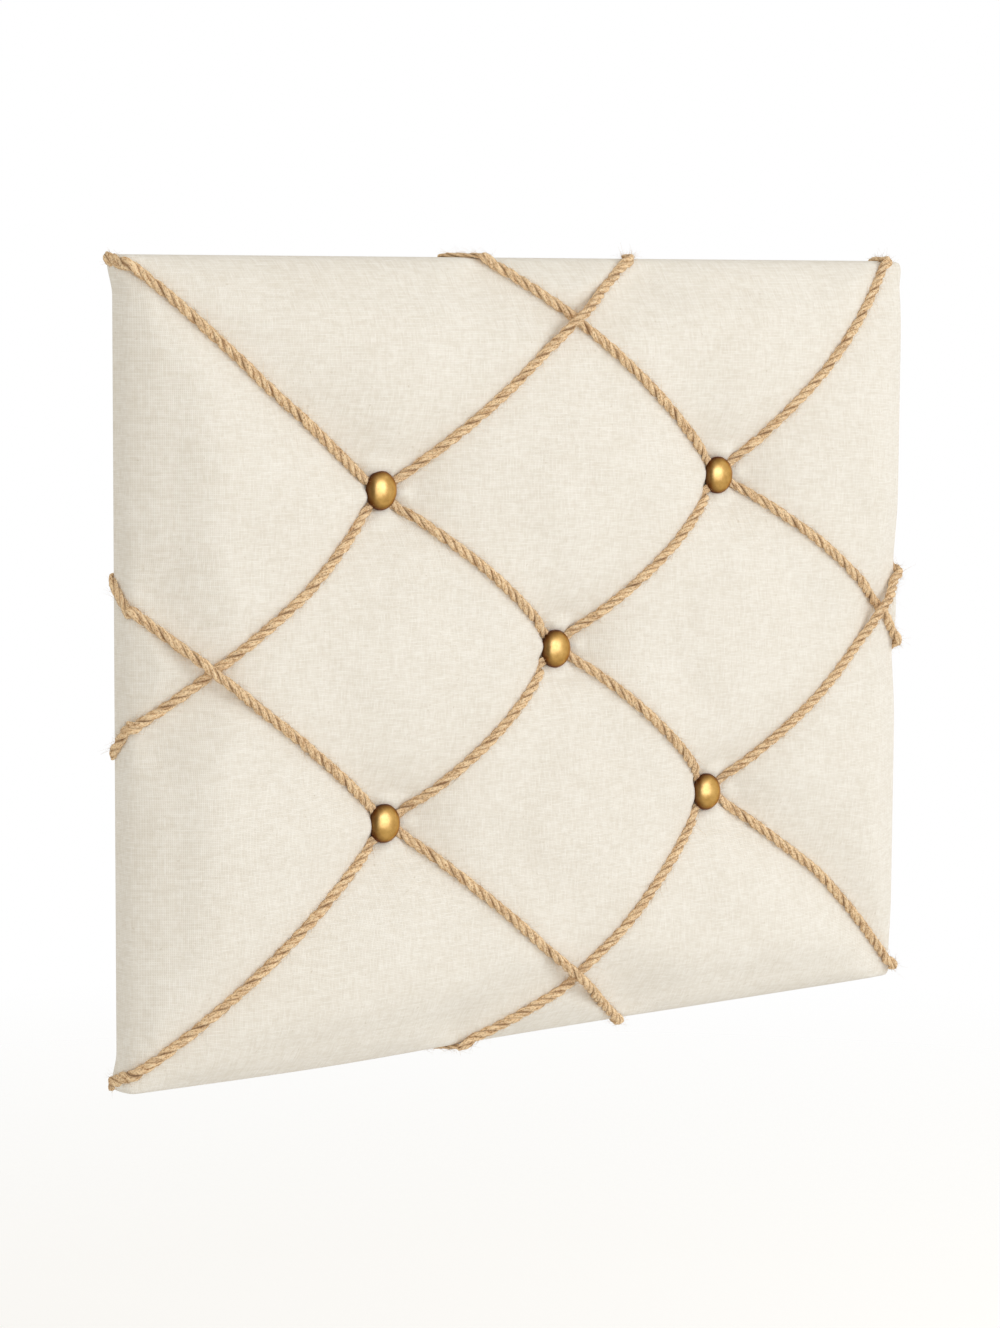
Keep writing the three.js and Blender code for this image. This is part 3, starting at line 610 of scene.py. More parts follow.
def new_group(name: str, inputs: dict[str, str], outputs: list[str]) -> tuple[NodeTree, dict, dict]:
    """Starts a shader node group.

    Args:
        name: The group's name.
        inputs: Names of its inputs with the kind of each socket.
        outputs: Names of its outputs, all values.

    Returns:
        The group's nodes, its input sockets and its output sockets, by name.
    """
    tree = bpy.data.node_groups.new(name, "ShaderNodeTree")
    for label, kind in inputs.items():
        tree.interface.new_socket(label, in_out="INPUT", socket_type=kind)
    for label in outputs:
        tree.interface.new_socket(label, in_out="OUTPUT", socket_type="NodeSocketFloat")
    entry = tree.nodes.new("NodeGroupInput")
    leave = tree.nodes.new("NodeGroupOutput")
    return NodeTree(tree), {s.name: s for s in entry.outputs}, {s.name: s for s in leave.inputs}


@cache
def weave_group() -> bpy.types.NodeTree:
    """Makes the plain weave: threads that pass over and under each other, some of them thicker or darker.

    Returns:
        A group that takes coordinates counted in threads and gives a height and a shade.
    """
    wave_share = 0.3
    # Steps in the noise: from thread to thread, along a thread, and from one set of threads to the other
    thread_step, slub_step, set_step = 2.37, 0.12, 7.3
    nodes, given, made = new_group("plain_weave", {"Threads": "NodeSocketVector"}, ["Height", "Shade"])
    parts = nodes.split(given["Threads"])
    heights, shades = [], []
    for own, other, sign in ((0, 1, 1), (1, 0, -1)):
        number = nodes.sum("FLOOR", parts[own])
        profile = nodes.sum("ABSOLUTE", nodes.sum("SINE", nodes.sum("MULTIPLY", parts[own], math.pi)))
        turn = nodes.sum("MULTIPLY", nodes.sum("ADD", parts[other], number), math.pi)
        wave = nodes.sum("MULTIPLY", nodes.sum("SINE", turn), sign * wave_share)
        heights.append(nodes.sum("MULTIPLY", profile, nodes.sum("ADD", wave, 1 - wave_share)))
        thread = nodes.sum("MULTIPLY", number, thread_step)
        along = nodes.sum("MULTIPLY", parts[other], slub_step)
        place = nodes.add("ShaderNodeCombineXYZ", {0: thread, 1: along, 2: set_step * own})
        shades.append(nodes.noise(place.outputs[0], 1.0, 2.0))
    nodes.feed(made["Height"], nodes.sum("MAXIMUM", *heights))
    nodes.feed(made["Shade"], nodes.sum("MULTIPLY", nodes.sum("ADD", *shades), 0.5))
    return nodes.tree


@cache
def fibre_group() -> bpy.types.NodeTree:
    """Makes the streaks of loose fibres that lie along a strand.

    Returns:
        A group that takes a place along and round a strand and gives a streak.
    """
    slant = 0.6
    inputs = {"Lay": "NodeSocketVector", "Along": "NodeSocketFloat", "Round": "NodeSocketFloat"}
    nodes, given, made = new_group("fibre_streaks", inputs, ["Streak"])
    parts = nodes.split(given["Lay"])
    along = nodes.sum("MULTIPLY", parts[0], given["Along"])
    turned = nodes.sum("MULTIPLY", parts[1], given["Round"])
    slanted = nodes.sum("ADD", turned, nodes.sum("MULTIPLY", along, slant))
    place = nodes.add("ShaderNodeCombineXYZ", {0: along, 1: slanted})
    nodes.feed(made["Streak"], nodes.noise(place.outputs[0], 1.0, 4.0))
    return nodes.tree


@cache
def mottle_group() -> bpy.types.NodeTree:
    """Makes soft clouds with a finer grain in them.

    Returns:
        A group that takes coordinates and two scales and gives clouds and grain.
    """
    inputs = {"Vector": "NodeSocketVector", "Clouds": "NodeSocketFloat", "Grain": "NodeSocketFloat"}
    nodes, given, made = new_group("soft_mottle", inputs, ["Cloud", "Speck"])
    nodes.feed(made["Cloud"], nodes.noise(given["Vector"], given["Clouds"], 2.0))
    nodes.feed(made["Speck"], nodes.noise(given["Vector"], given["Grain"], 4.0))
    return nodes.tree


def new_material(name: str) -> tuple[Material, NodeTree, bpy.types.Node]:
    """Starts a material.

    Args:
        name: The material's name.

    Returns:
        The material, its nodes and its main shader.
    """
    material = bpy.data.materials.new(name)
    material.use_nodes = True
    tree = material.node_tree
    return material, NodeTree(tree), tree.nodes["Principled BSDF"]


# Finishes


@dataclass(frozen=True)
class Layer:
    """A colour laid over another one: which value it follows, from where to where, and up to what share."""

    follows: str
    low: float
    high: float
    share: float
    tint: Colour


def layered(nodes: NodeTree, base: object, layers: tuple[Layer, ...], values: dict[str, object]) -> object:
    """Lays colours over a base.

    Args:
        nodes: The material's nodes.
        base: The colour below.
        layers: The colours to lay over it, in order.
        values: The values that the layers follow, by name.

    Returns:
        The finished colour.
    """
    for layer in layers:
        part = nodes.part(values[layer.follows], layer.low, layer.high, layer.share)
        base = nodes.mix(part, base, layer.tint)
    return base


def set_plain(shader: bpy.types.Node, values: dict[str, object]) -> None:
    """Sets what is the same all over a surface on the shader's own sockets."""
    for name, value in values.items():
        shader.inputs[name].default_value = value


# Flax brown for neps, and for painted shade in the hollows between the threads
FLAX_BROWN_AND_WEAVE_SHADE = colour(190, 175, 150)
PALE_JUTE = colour(252, 229, 192)
BROWN_JUTE = colour(166, 118, 72)
# Dark brown for dark specks of fibre, and for painted shade in the grooves between the strands
DARK_SPECK_AND_GROOVE_SHADE = colour(122, 81, 42)


@dataclass(frozen=True)
class LinenFinish:
    """Undyed plain-weave linen with uneven threads, and painted shade in the hollows between them."""

    pale: Colour = colour(255, 252, 246)
    deep: Colour = colour(222, 213, 198)
    layers: tuple[Layer, ...] = (
        Layer("specks", 0.66, 0.8, 0.5, FLAX_BROWN_AND_WEAVE_SHADE),
        # Painted shade: flax brown where the weave is low, between the threads
        Layer("weave", 0.75, 0.2, 0.22, FLAX_BROWN_AND_WEAVE_SHADE),
    )
    threads_per_metre: float = 1150.0
    clouds: float = 22.0
    grain: float = 420.0
    shade_range: Pair = (0.37, 0.63)
    thread_share: float = 0.36
    cloud_share: float = 0.22
    slub_rise: float = 0.6
    roughness: float = 0.92
    specular: float = 0.2
    bump_depth: float = 0.00025
    bump_strength: float = 0.5

    def material(self) -> Material:
        """Makes the material from the weave on the cloth's own map.

        Returns:
            The material.
        """
        made, nodes, shader = new_material("undyed_linen")
        cloth = nodes.piece_map("cloth")
        threads = nodes.stretched(cloth, (self.threads_per_metre,) * 3)
        weave = nodes.group(weave_group(), {"Threads": threads})
        mottle = nodes.group(mottle_group(), {"Vector": cloth, "Clouds": self.clouds, "Grain": self.grain})
        shade = nodes.spread(weave["Shade"], *self.shade_range)
        clouded = nodes.sum("ADD", nodes.sum("MULTIPLY", shade, self.thread_share),
                            nodes.sum("MULTIPLY", mottle["Cloud"], self.cloud_share))
        even = (1 - self.thread_share - self.cloud_share) / 2
        base = nodes.mix(nodes.sum("ADD", clouded, even), self.deep, self.pale)
        # The weave's height also sets the painted shade between the threads
        values = {"specks": mottle["Speck"], "weave": weave["Height"]}
        nodes.feed(shader.inputs["Base Color"], layered(nodes, base, self.layers, values))
        slubs = nodes.sum("MULTIPLY", shade, self.slub_rise)
        nodes.bump(shader, nodes.sum("ADD", weave["Height"], slubs), self.bump_depth, self.bump_strength)
        set_plain(shader, {"Roughness": self.roughness, "Specular IOR Level": self.specular})
        return made


@dataclass(frozen=True)
class JuteFinish:
    """Natural jute: golden fibres in streaks, with painted shade in brown in the grooves between the strands.
    """

    body: Colour = colour(243, 206, 158)
    layers: tuple[Layer, ...] = (
        Layer("streaks", 0.4, 0.72, 1.0, PALE_JUTE),
        Layer("streaks", 0.46, 0.28, 1.0, BROWN_JUTE),
        Layer("patches", 0.5, 0.7, 0.6, BROWN_JUTE),
        Layer("specks", 0.48, 0.32, 0.7, DARK_SPECK_AND_GROOVE_SHADE),
        Layer("specks", 0.52, 0.68, 0.8, PALE_JUTE),
        # Painted shade: darker brown where the crown value is low, in the grooves between the strands
        Layer("crown", 0.86, 0.45, 0.8, DARK_SPECK_AND_GROOVE_SHADE),
    )
    scales: tuple[tuple[str, float, float], ...] = (
        ("streaks", 320.0, 9.0), ("patches", 150.0, 3.0), ("specks", 1100.0, 12.0))
    roughness: float = 0.88
    specular: float = 0.25
    bump_depth: float = 0.0004
    bump_strength: float = 0.8

    def material(self) -> Material:
        """Makes the material from streaks on the strands' own map.

        Returns:
            The material.
        """
        made, nodes, shader = new_material("natural_jute")
        lay = nodes.piece_map("lay")
        # The crown value drives the painted shade in the grooves
        values = {"crown": nodes.add("ShaderNodeAttribute", attribute_name="crown").outputs["Fac"]}
        for name, along, around in self.scales:
            values[name] = nodes.group(fibre_group(), {"Lay": lay, "Along": along, "Round": around})[0]
        nodes.feed(shader.inputs["Base Color"], layered(nodes, self.body, self.layers, values))
        nodes.bump(shader, values["streaks"], self.bump_depth, self.bump_strength)
        set_plain(shader, {"Roughness": self.roughness, "Specular IOR Level": self.specular})
        return made


@dataclass(frozen=True)
class BrassFinish:
    """Antique brass under clear lacquer, darker towards the rim: partly patina, partly painted shade."""

    bright: Colour = colour(204, 160, 84)
    worn: Colour = colour(182, 138, 66)
    # Dark patina with painted shade, laid on towards the rim and the dome's sides
    rim: Colour = colour(92, 52, 6)
    edge_tint: Colour = colour(214, 160, 80)
    clouds: float = 260.0
    grain: float = 1900.0
    worn_range: Pair = (0.35, 0.65)
    rim_patina_and_shade_range: Pair = (0.7, 1.0)
    spot_range: Pair = (0.56, 0.7)
    spot_share: float = 0.25
    roughness: float = 0.38
    rough_spread: float = 0.16
    bump_depth: float = 0.00004
    lacquer: float = 0.4
    lacquer_roughness: float = 0.3

    def material(self) -> Material:
        """Makes the material, with the rim's patina and painted shade on the dome's own map.

        Returns:
            The material.
        """
        made, nodes, shader = new_material("antique_brass")
        scales = {"Vector": nodes.object_place(), "Clouds": self.clouds, "Grain": self.grain}
        mottle = nodes.group(mottle_group(), scales)
        base = nodes.mix(nodes.spread(mottle["Cloud"], *self.worn_range), self.bright, self.worn)
        # Painted shade with patina: the brass darkens towards the rim, with patina spots added
        outwards = nodes.split(nodes.piece_map("dome"))[0]
        patina_and_painted_shade = nodes.sum("ADD", nodes.spread(outwards, *self.rim_patina_and_shade_range),
                         nodes.part(mottle["Speck"], *self.spot_range, self.spot_share))
        nodes.feed(shader.inputs["Base Color"], nodes.mix(nodes.spread(patina_and_painted_shade, 0, 1), base, self.rim))
        nodes.vary(shader.inputs["Roughness"], mottle["Speck"], self.roughness, self.rough_spread)
        nodes.bump(shader, mottle["Speck"], self.bump_depth)
        set_plain(shader, {
            "Metallic": 1.0, "Specular Tint": self.edge_tint,
            "Coat Weight": self.lacquer, "Coat Roughness": self.lacquer_roughness,
        })
        return made


@dataclass(frozen=True)
class GrainedFinish:
    """A plain material whose colour, gloss and surface vary in clouds and grain."""

    name: str
    pale: Colour
    deep: Colour
    clouds: float
    grain: float
    roughness: float
    bump_depth: float
    metallic: float = 0.0
    grain_share: float = 0.5
    mottle_range: Pair = (0.3, 0.7)
    rough_spread: float = 0.12

    @cache
    def material(self) -> Material:
        """Makes the material from clouds and grain, once for all pieces.

        Returns:
            The material.
        """
        made, nodes, shader = new_material(self.name)
        scales = {"Vector": nodes.object_place(), "Clouds": self.clouds, "Grain": self.grain}
        mottle = nodes.group(mottle_group(), scales)
        speck = nodes.spread(mottle["Speck"], *self.mottle_range)
        share = nodes.sum("ADD", nodes.sum("MULTIPLY", speck, self.grain_share),
                          nodes.part(mottle["Cloud"], *self.mottle_range, 1 - self.grain_share))
        nodes.feed(shader.inputs["Base Color"], nodes.mix(share, self.deep, self.pale))
        nodes.vary(shader.inputs["Roughness"], speck, self.roughness, self.rough_spread)
        nodes.bump(shader, mottle["Speck"], self.bump_depth)
        set_plain(shader, {"Metallic": self.metallic})
        return made


KRAFT = GrainedFinish(
    "kraft_paper", colour(190, 153, 110), colour(166, 128, 86),
    clouds=40.0, grain=900.0, roughness=0.85, bump_depth=0.0001)
STEEL = GrainedFinish(
    "zinc_steel", colour(196, 198, 200), colour(150, 152, 156),
    clouds=160.0, grain=1500.0, roughness=0.34, bump_depth=0.00002, metallic=1.0)
RUBBER = GrainedFinish(
    "grey_rubber", colour(58, 56, 55), colour(40, 39, 38),
    clouds=120.0, grain=1800.0, roughness=0.78, bump_depth=0.00005)
FOAM = GrainedFinish(
    "cream_foam", colour(247, 240, 214), colour(228, 214, 172),
    clouds=60.0, grain=700.0, roughness=0.95, bump_depth=0.0006)
FIBREBOARD = GrainedFinish(
    "fibreboard", colour(172, 140, 104), colour(140, 108, 76),
    clouds=50.0, grain=600.0, roughness=0.9, bump_depth=0.0002)


# Meshes and pieces


# Lengths that differ by less than this are the same
ROUNDING = 1e-6
# Turns of a surface above which an edge is bevelled, and up to which it looks smooth
SHARP_TURN = math.radians(40)
SMOOTH_TURN = math.radians(35)


def deselect_all() -> None:
    """Leaves nothing selected."""
    bpy.ops.object.select_all(action="DESELECT")


def take_up(piece: Piece) -> None:
    """Selects one piece and makes it active.

    Args:
        piece: The piece.
    """
    deselect_all()
    piece.select_set(True)
    bpy.context.view_layer.objects.active = piece


def in_scene(name: str, data: bpy.types.ID) -> Piece:
    """Makes an object and puts it into the scene.

    Args:
        name: The object's name.
        data: Its mesh, lamp or camera.

    Returns:
        The object.
    """
    made = bpy.data.objects.new(name, data)
    bpy.context.scene.collection.objects.link(made)
    return made


def points_of(mesh: bpy.types.Mesh) -> Array:
    """Reads a mesh's points.

    Args:
        mesh: The mesh.

    Returns:
        The points, one per row.
    """
    points = np.zeros(len(mesh.vertices) * 3)
    mesh.vertices.foreach_get("co", points)
    return points.reshape(-1, 3)


def move_points(mesh: bpy.types.Mesh, points: Array) -> None:
    """Puts a mesh's points at new places."""
    mesh.vertices.foreach_set("co", points.ravel())
    mesh.update()


def grid_faces(rows: int, columns: int) -> tuple[Array, Array]:
    """Numbers the faces of a grid of points and the points round its rim.

    Args:
        rows: Number of rows, from the lowest up.
        columns: Number of points in a row, from left to right.

    Returns:
        Quads that face the front, and the rim from the lower left corner, first along the bottom.
    """
    number = np.arange(rows * columns).reshape(rows, columns)
    quads = np.stack([number[:-1, :-1], number[:-1, 1:], number[1:, 1:], number[1:, :-1]], axis=-1)
    rim = np.concatenate([number[0, :-1], number[:-1, -1], number[-1, :0:-1], number[:0:-1, 0]])
    return quads.reshape(-1, 4), rim


def mesh_piece(name: str, points: Array, faces: list, map_name: str, corners: Array) -> Piece:
    """Makes a smooth mesh with its own map.

    Args:
        name: The piece's name.
        points: Its points, one per row.
        faces: Its faces, as numbers of points.
        map_name: Name of its UV map.
        corners: The map's place of every face corner, in the faces' order.

    Returns:
        The piece, at the origin.
    """
    mesh = bpy.data.meshes.new(name)
    mesh.from_pydata(points.tolist(), [], faces)
    layer = mesh.uv_layers.new(name=map_name)
    layer.data.foreach_set("uv", np.asarray(corners, np.float32).ravel())
    mesh.polygons.foreach_set("use_smooth", np.ones(len(faces), bool))
    mesh.update()
    return in_scene(name, mesh)


def apply_modifier(piece: Piece, kind: str, **settings: object) -> None:
    """Adds a modifier to a piece and applies it.

    Args:
        piece: The piece.
        kind: The modifier's type name.
        **settings: Its settings.
    """
    take_up(piece)
    modifier = piece.modifiers.new(kind.lower(), kind)
    for name, value in settings.items():
        setattr(modifier, name, value)
    bpy.ops.object.modifier_apply(modifier=modifier.name)


def settle(piece: Piece, material: Material, slot: Slot, body: Body, *nodes: str) -> None:
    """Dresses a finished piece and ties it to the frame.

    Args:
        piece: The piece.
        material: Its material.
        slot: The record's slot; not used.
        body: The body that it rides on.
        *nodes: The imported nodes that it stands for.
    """
    piece.data.materials.clear()
    piece.data.materials.append(material)
    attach(piece, body.value)
    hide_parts(*nodes)
    log.info("%s: %d faces", piece.name, len(piece.data.polygons))


def settle_all(pieces: dict[str, Piece], material: Material, slot: Slot) -> None:
    """Dresses pieces of the board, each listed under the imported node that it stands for."""
    for node, piece in pieces.items():
        settle(piece, material, slot, Body.BOARD, node)


def start_editing() -> Piece:
    """Puts the new primitive's place into its mesh and selects all of it in edit mode.

    Returns:
        The piece.
    """
    bpy.ops.object.transform_apply(location=True, rotation=True, scale=True)
    bpy.ops.object.mode_set(mode="EDIT")
    bpy.ops.mesh.select_all(action="SELECT")
    return bpy.context.object


def round_section(radius: float, at: Triple, turn: Triple, sides: int) -> Piece:
    """Starts a piece from a filled circle.

    Args:
        radius: The circle's radius.
        at: Its middle.
        turn: Its turn about X, Y and Z.
        sides: Its number of sides.

    Returns:
        The piece, in edit mode with the circle selected.
    """
    deselect_all()
    bpy.ops.mesh.primitive_circle_add(
        vertices=sides, radius=radius, fill_type="NGON", location=at, rotation=turn)
    return start_editing()


def flat_section(width: float, thick: float, at: Triple, turn: Triple) -> Piece:
    """Starts a piece from a rectangle.

    Args:
        width: Its size along its own X.
        thick: Its size along its own Y.
        at: Its middle.
        turn: Its turn about X, Y and Z.

    Returns:
        The piece, in edit mode with the rectangle selected.
    """
    deselect_all()
    bpy.ops.mesh.primitive_plane_add(size=1, location=at, rotation=turn)
    bpy.context.object.scale = (width, thick, 1)
    return start_editing()


def extrude(x: float = 0.0, y: float = 0.0, z: float = 0.0) -> None:
    """Draws the selected section out along a straight line."""
    bpy.ops.mesh.extrude_region_move(TRANSFORM_OT_translate={"value": (x, y, z)})


def bend(centre: Triple, axis: Triple, degrees: float, steps: int) -> None:
    """Carries the selected section round an axis; spin counts its angle against the right-hand rule."""
    bpy.ops.mesh.spin(steps=steps, angle=-math.radians(degrees), center=centre, axis=axis)


def scale_about(centre: Triple, x: float, y: float, z: float) -> None:
    """Scales what is selected about a point."""
    bpy.ops.transform.resize(value=(x, y, z), center_override=centre)


def pick(piece: Piece, parts: str, wanted: Callable[[object], bool]) -> None:
    """Selects some vertices, edges or faces of a piece in edit mode.

    Args:
        piece: The piece.
        parts: Which parts are looked at: vertices, edges or polygons.
        wanted: Tells of one part whether it is selected.
    """
    kinds = ("vertices", "edges", "polygons")
    bpy.ops.object.mode_set(mode="OBJECT")
    for kind in kinds:
        members = getattr(piece.data, kind)
        members.foreach_set("select", np.zeros(len(members), bool))
    for member in getattr(piece.data, parts):
        member.select = wanted(member)
    bpy.context.tool_settings.mesh_select_mode = tuple(kind == parts for kind in kinds)
    bpy.ops.object.mode_set(mode="EDIT")


def meets(value: float, wanted: float) -> bool:
    """Tells whether two lengths are the same but for rounding."""
    return abs(value - wanted) < ROUNDING


def face_outwards() -> None:
    """Merges points that meet, takes out walls inside the piece and points all faces outwards."""
    bpy.ops.mesh.select_all(action="SELECT")
    bpy.ops.mesh.remove_doubles(threshold=ROUNDING)
    bpy.ops.mesh.select_all(action="DESELECT")
    bpy.ops.mesh.select_interior_faces()
    bpy.ops.mesh.delete(type="FACE")
    bpy.ops.mesh.select_all(action="SELECT")
    bpy.ops.mesh.normals_make_consistent(inside=False)


def leave_edit(piece: Piece, name: str) -> None:
    """Cleans an edited piece, leaves edit mode and names the piece.

    Args:
        piece: The piece.
        name: Its name.
    """
    face_outwards()
    bpy.ops.object.mode_set(mode="OBJECT")
    piece.name = piece.data.name = name


def bevel_edges(piece: Piece, width: float) -> None:
    """Bevels a piece's sharp edges."""
    sharp = {"limit_method": "ANGLE", "angle_limit": SHARP_TURN}
    apply_modifier(piece, "BEVEL", width=width, segments=2, **sharp)


def soften(piece: Piece, edge: float) -> Piece:
    """Softens a piece's sharp edges and smooths its curves.

    Args:
        piece: The piece.
        edge: Width of the softened edges, or 0 to leave them.

    Returns:
        The piece.
    """
    if edge:
        bevel_edges(piece, edge)
    take_up(piece)
    bpy.ops.object.shade_smooth_by_angle(angle=SMOOTH_TURN)
    return piece


def cut_away(piece: Piece, cutter: Piece) -> None:
    """Cuts one shape out of a piece and removes it."""
    apply_modifier(piece, "BOOLEAN", object=cutter, operation="DIFFERENCE", solver="EXACT")
    bpy.data.objects.remove(cutter)


def copied(pattern: Piece, name: str, move: Matrix) -> Piece:
    """Copies a pattern to its place, with a mesh of its own.

    Args:
        pattern: The piece to copy.
        name: The copy's name.
        move: Where the copy goes.

    Returns:
        The copy.
    """
    mesh = pattern.data.copy()
    mesh.name = name
    mesh.transform(move)
    return in_scene(name, mesh)


class TubeMesh:
    """Collects tubes into one mesh, with a map along and round them and a crown value at every point, which
    sets the jute's painted groove shade.
    """

    def __init__(self) -> None:
        """Starts empty."""
        self.points: list[Array] = []
        self.faces: list[list[int]] = []
        self.corners: list[Array] = []
        self.crowns: list[Array] = []
        self.count = 0

    def add(self, rings: Array, along: Array, crowns: Array, offset: float) -> None:
        """Adds one closed tube.

        Args:
            rings: Rings of points, as rings by sides by three.
            along: The map's place along the tube, for each ring.
            crowns: The crown value of each point of each ring; low values get painted groove shade.
            offset: The map's place round the tube at the first side.
        """
        steps, sides, _ = rings.shape
        ring, side = np.meshgrid(np.arange(steps - 1), np.arange(sides), indexing="ij")
        following = (side + 1) % sides
        quads = np.stack([ring * sides + side, ring * sides + following,
                          (ring + 1) * sides + following, (ring + 1) * sides + side], axis=-1)
        around = offset + np.stack([side, side + 1, side + 1, side], axis=-1) / sides
        lengthwise = np.stack([along[ring], along[ring], along[ring + 1], along[ring + 1]], axis=-1)
        self.faces += (quads.reshape(-1, 4) + self.count).tolist()
        self.corners.append(np.stack([lengthwise, around], axis=-1).reshape(-1, 2))
        last = self.count + (steps - 1) * sides
        self.faces.append(list(range(self.count + sides - 1, self.count - 1, -1)))
        self.faces.append(list(range(last, last + sides)))
        for end in (0, -1):
            self.corners.append(np.tile([along[end], offset], (sides, 1)))
        self.points.append(rings.reshape(-1, 3))
        self.crowns.append(crowns.ravel())
        self.count += steps * sides

    def piece(self, name: str) -> Piece:
        """Makes the mesh.

        Args:
            name: The piece's name.

        Returns:
            The piece.
        """
        made = mesh_piece(name, np.concatenate(self.points), self.faces, "lay", np.concatenate(self.corners))
        crowns = np.concatenate(self.crowns).astype(np.float32)
        made.data.attributes.new("crown", "FLOAT", "POINT").data.foreach_set("value", crowns)
        return made


# Linen cover


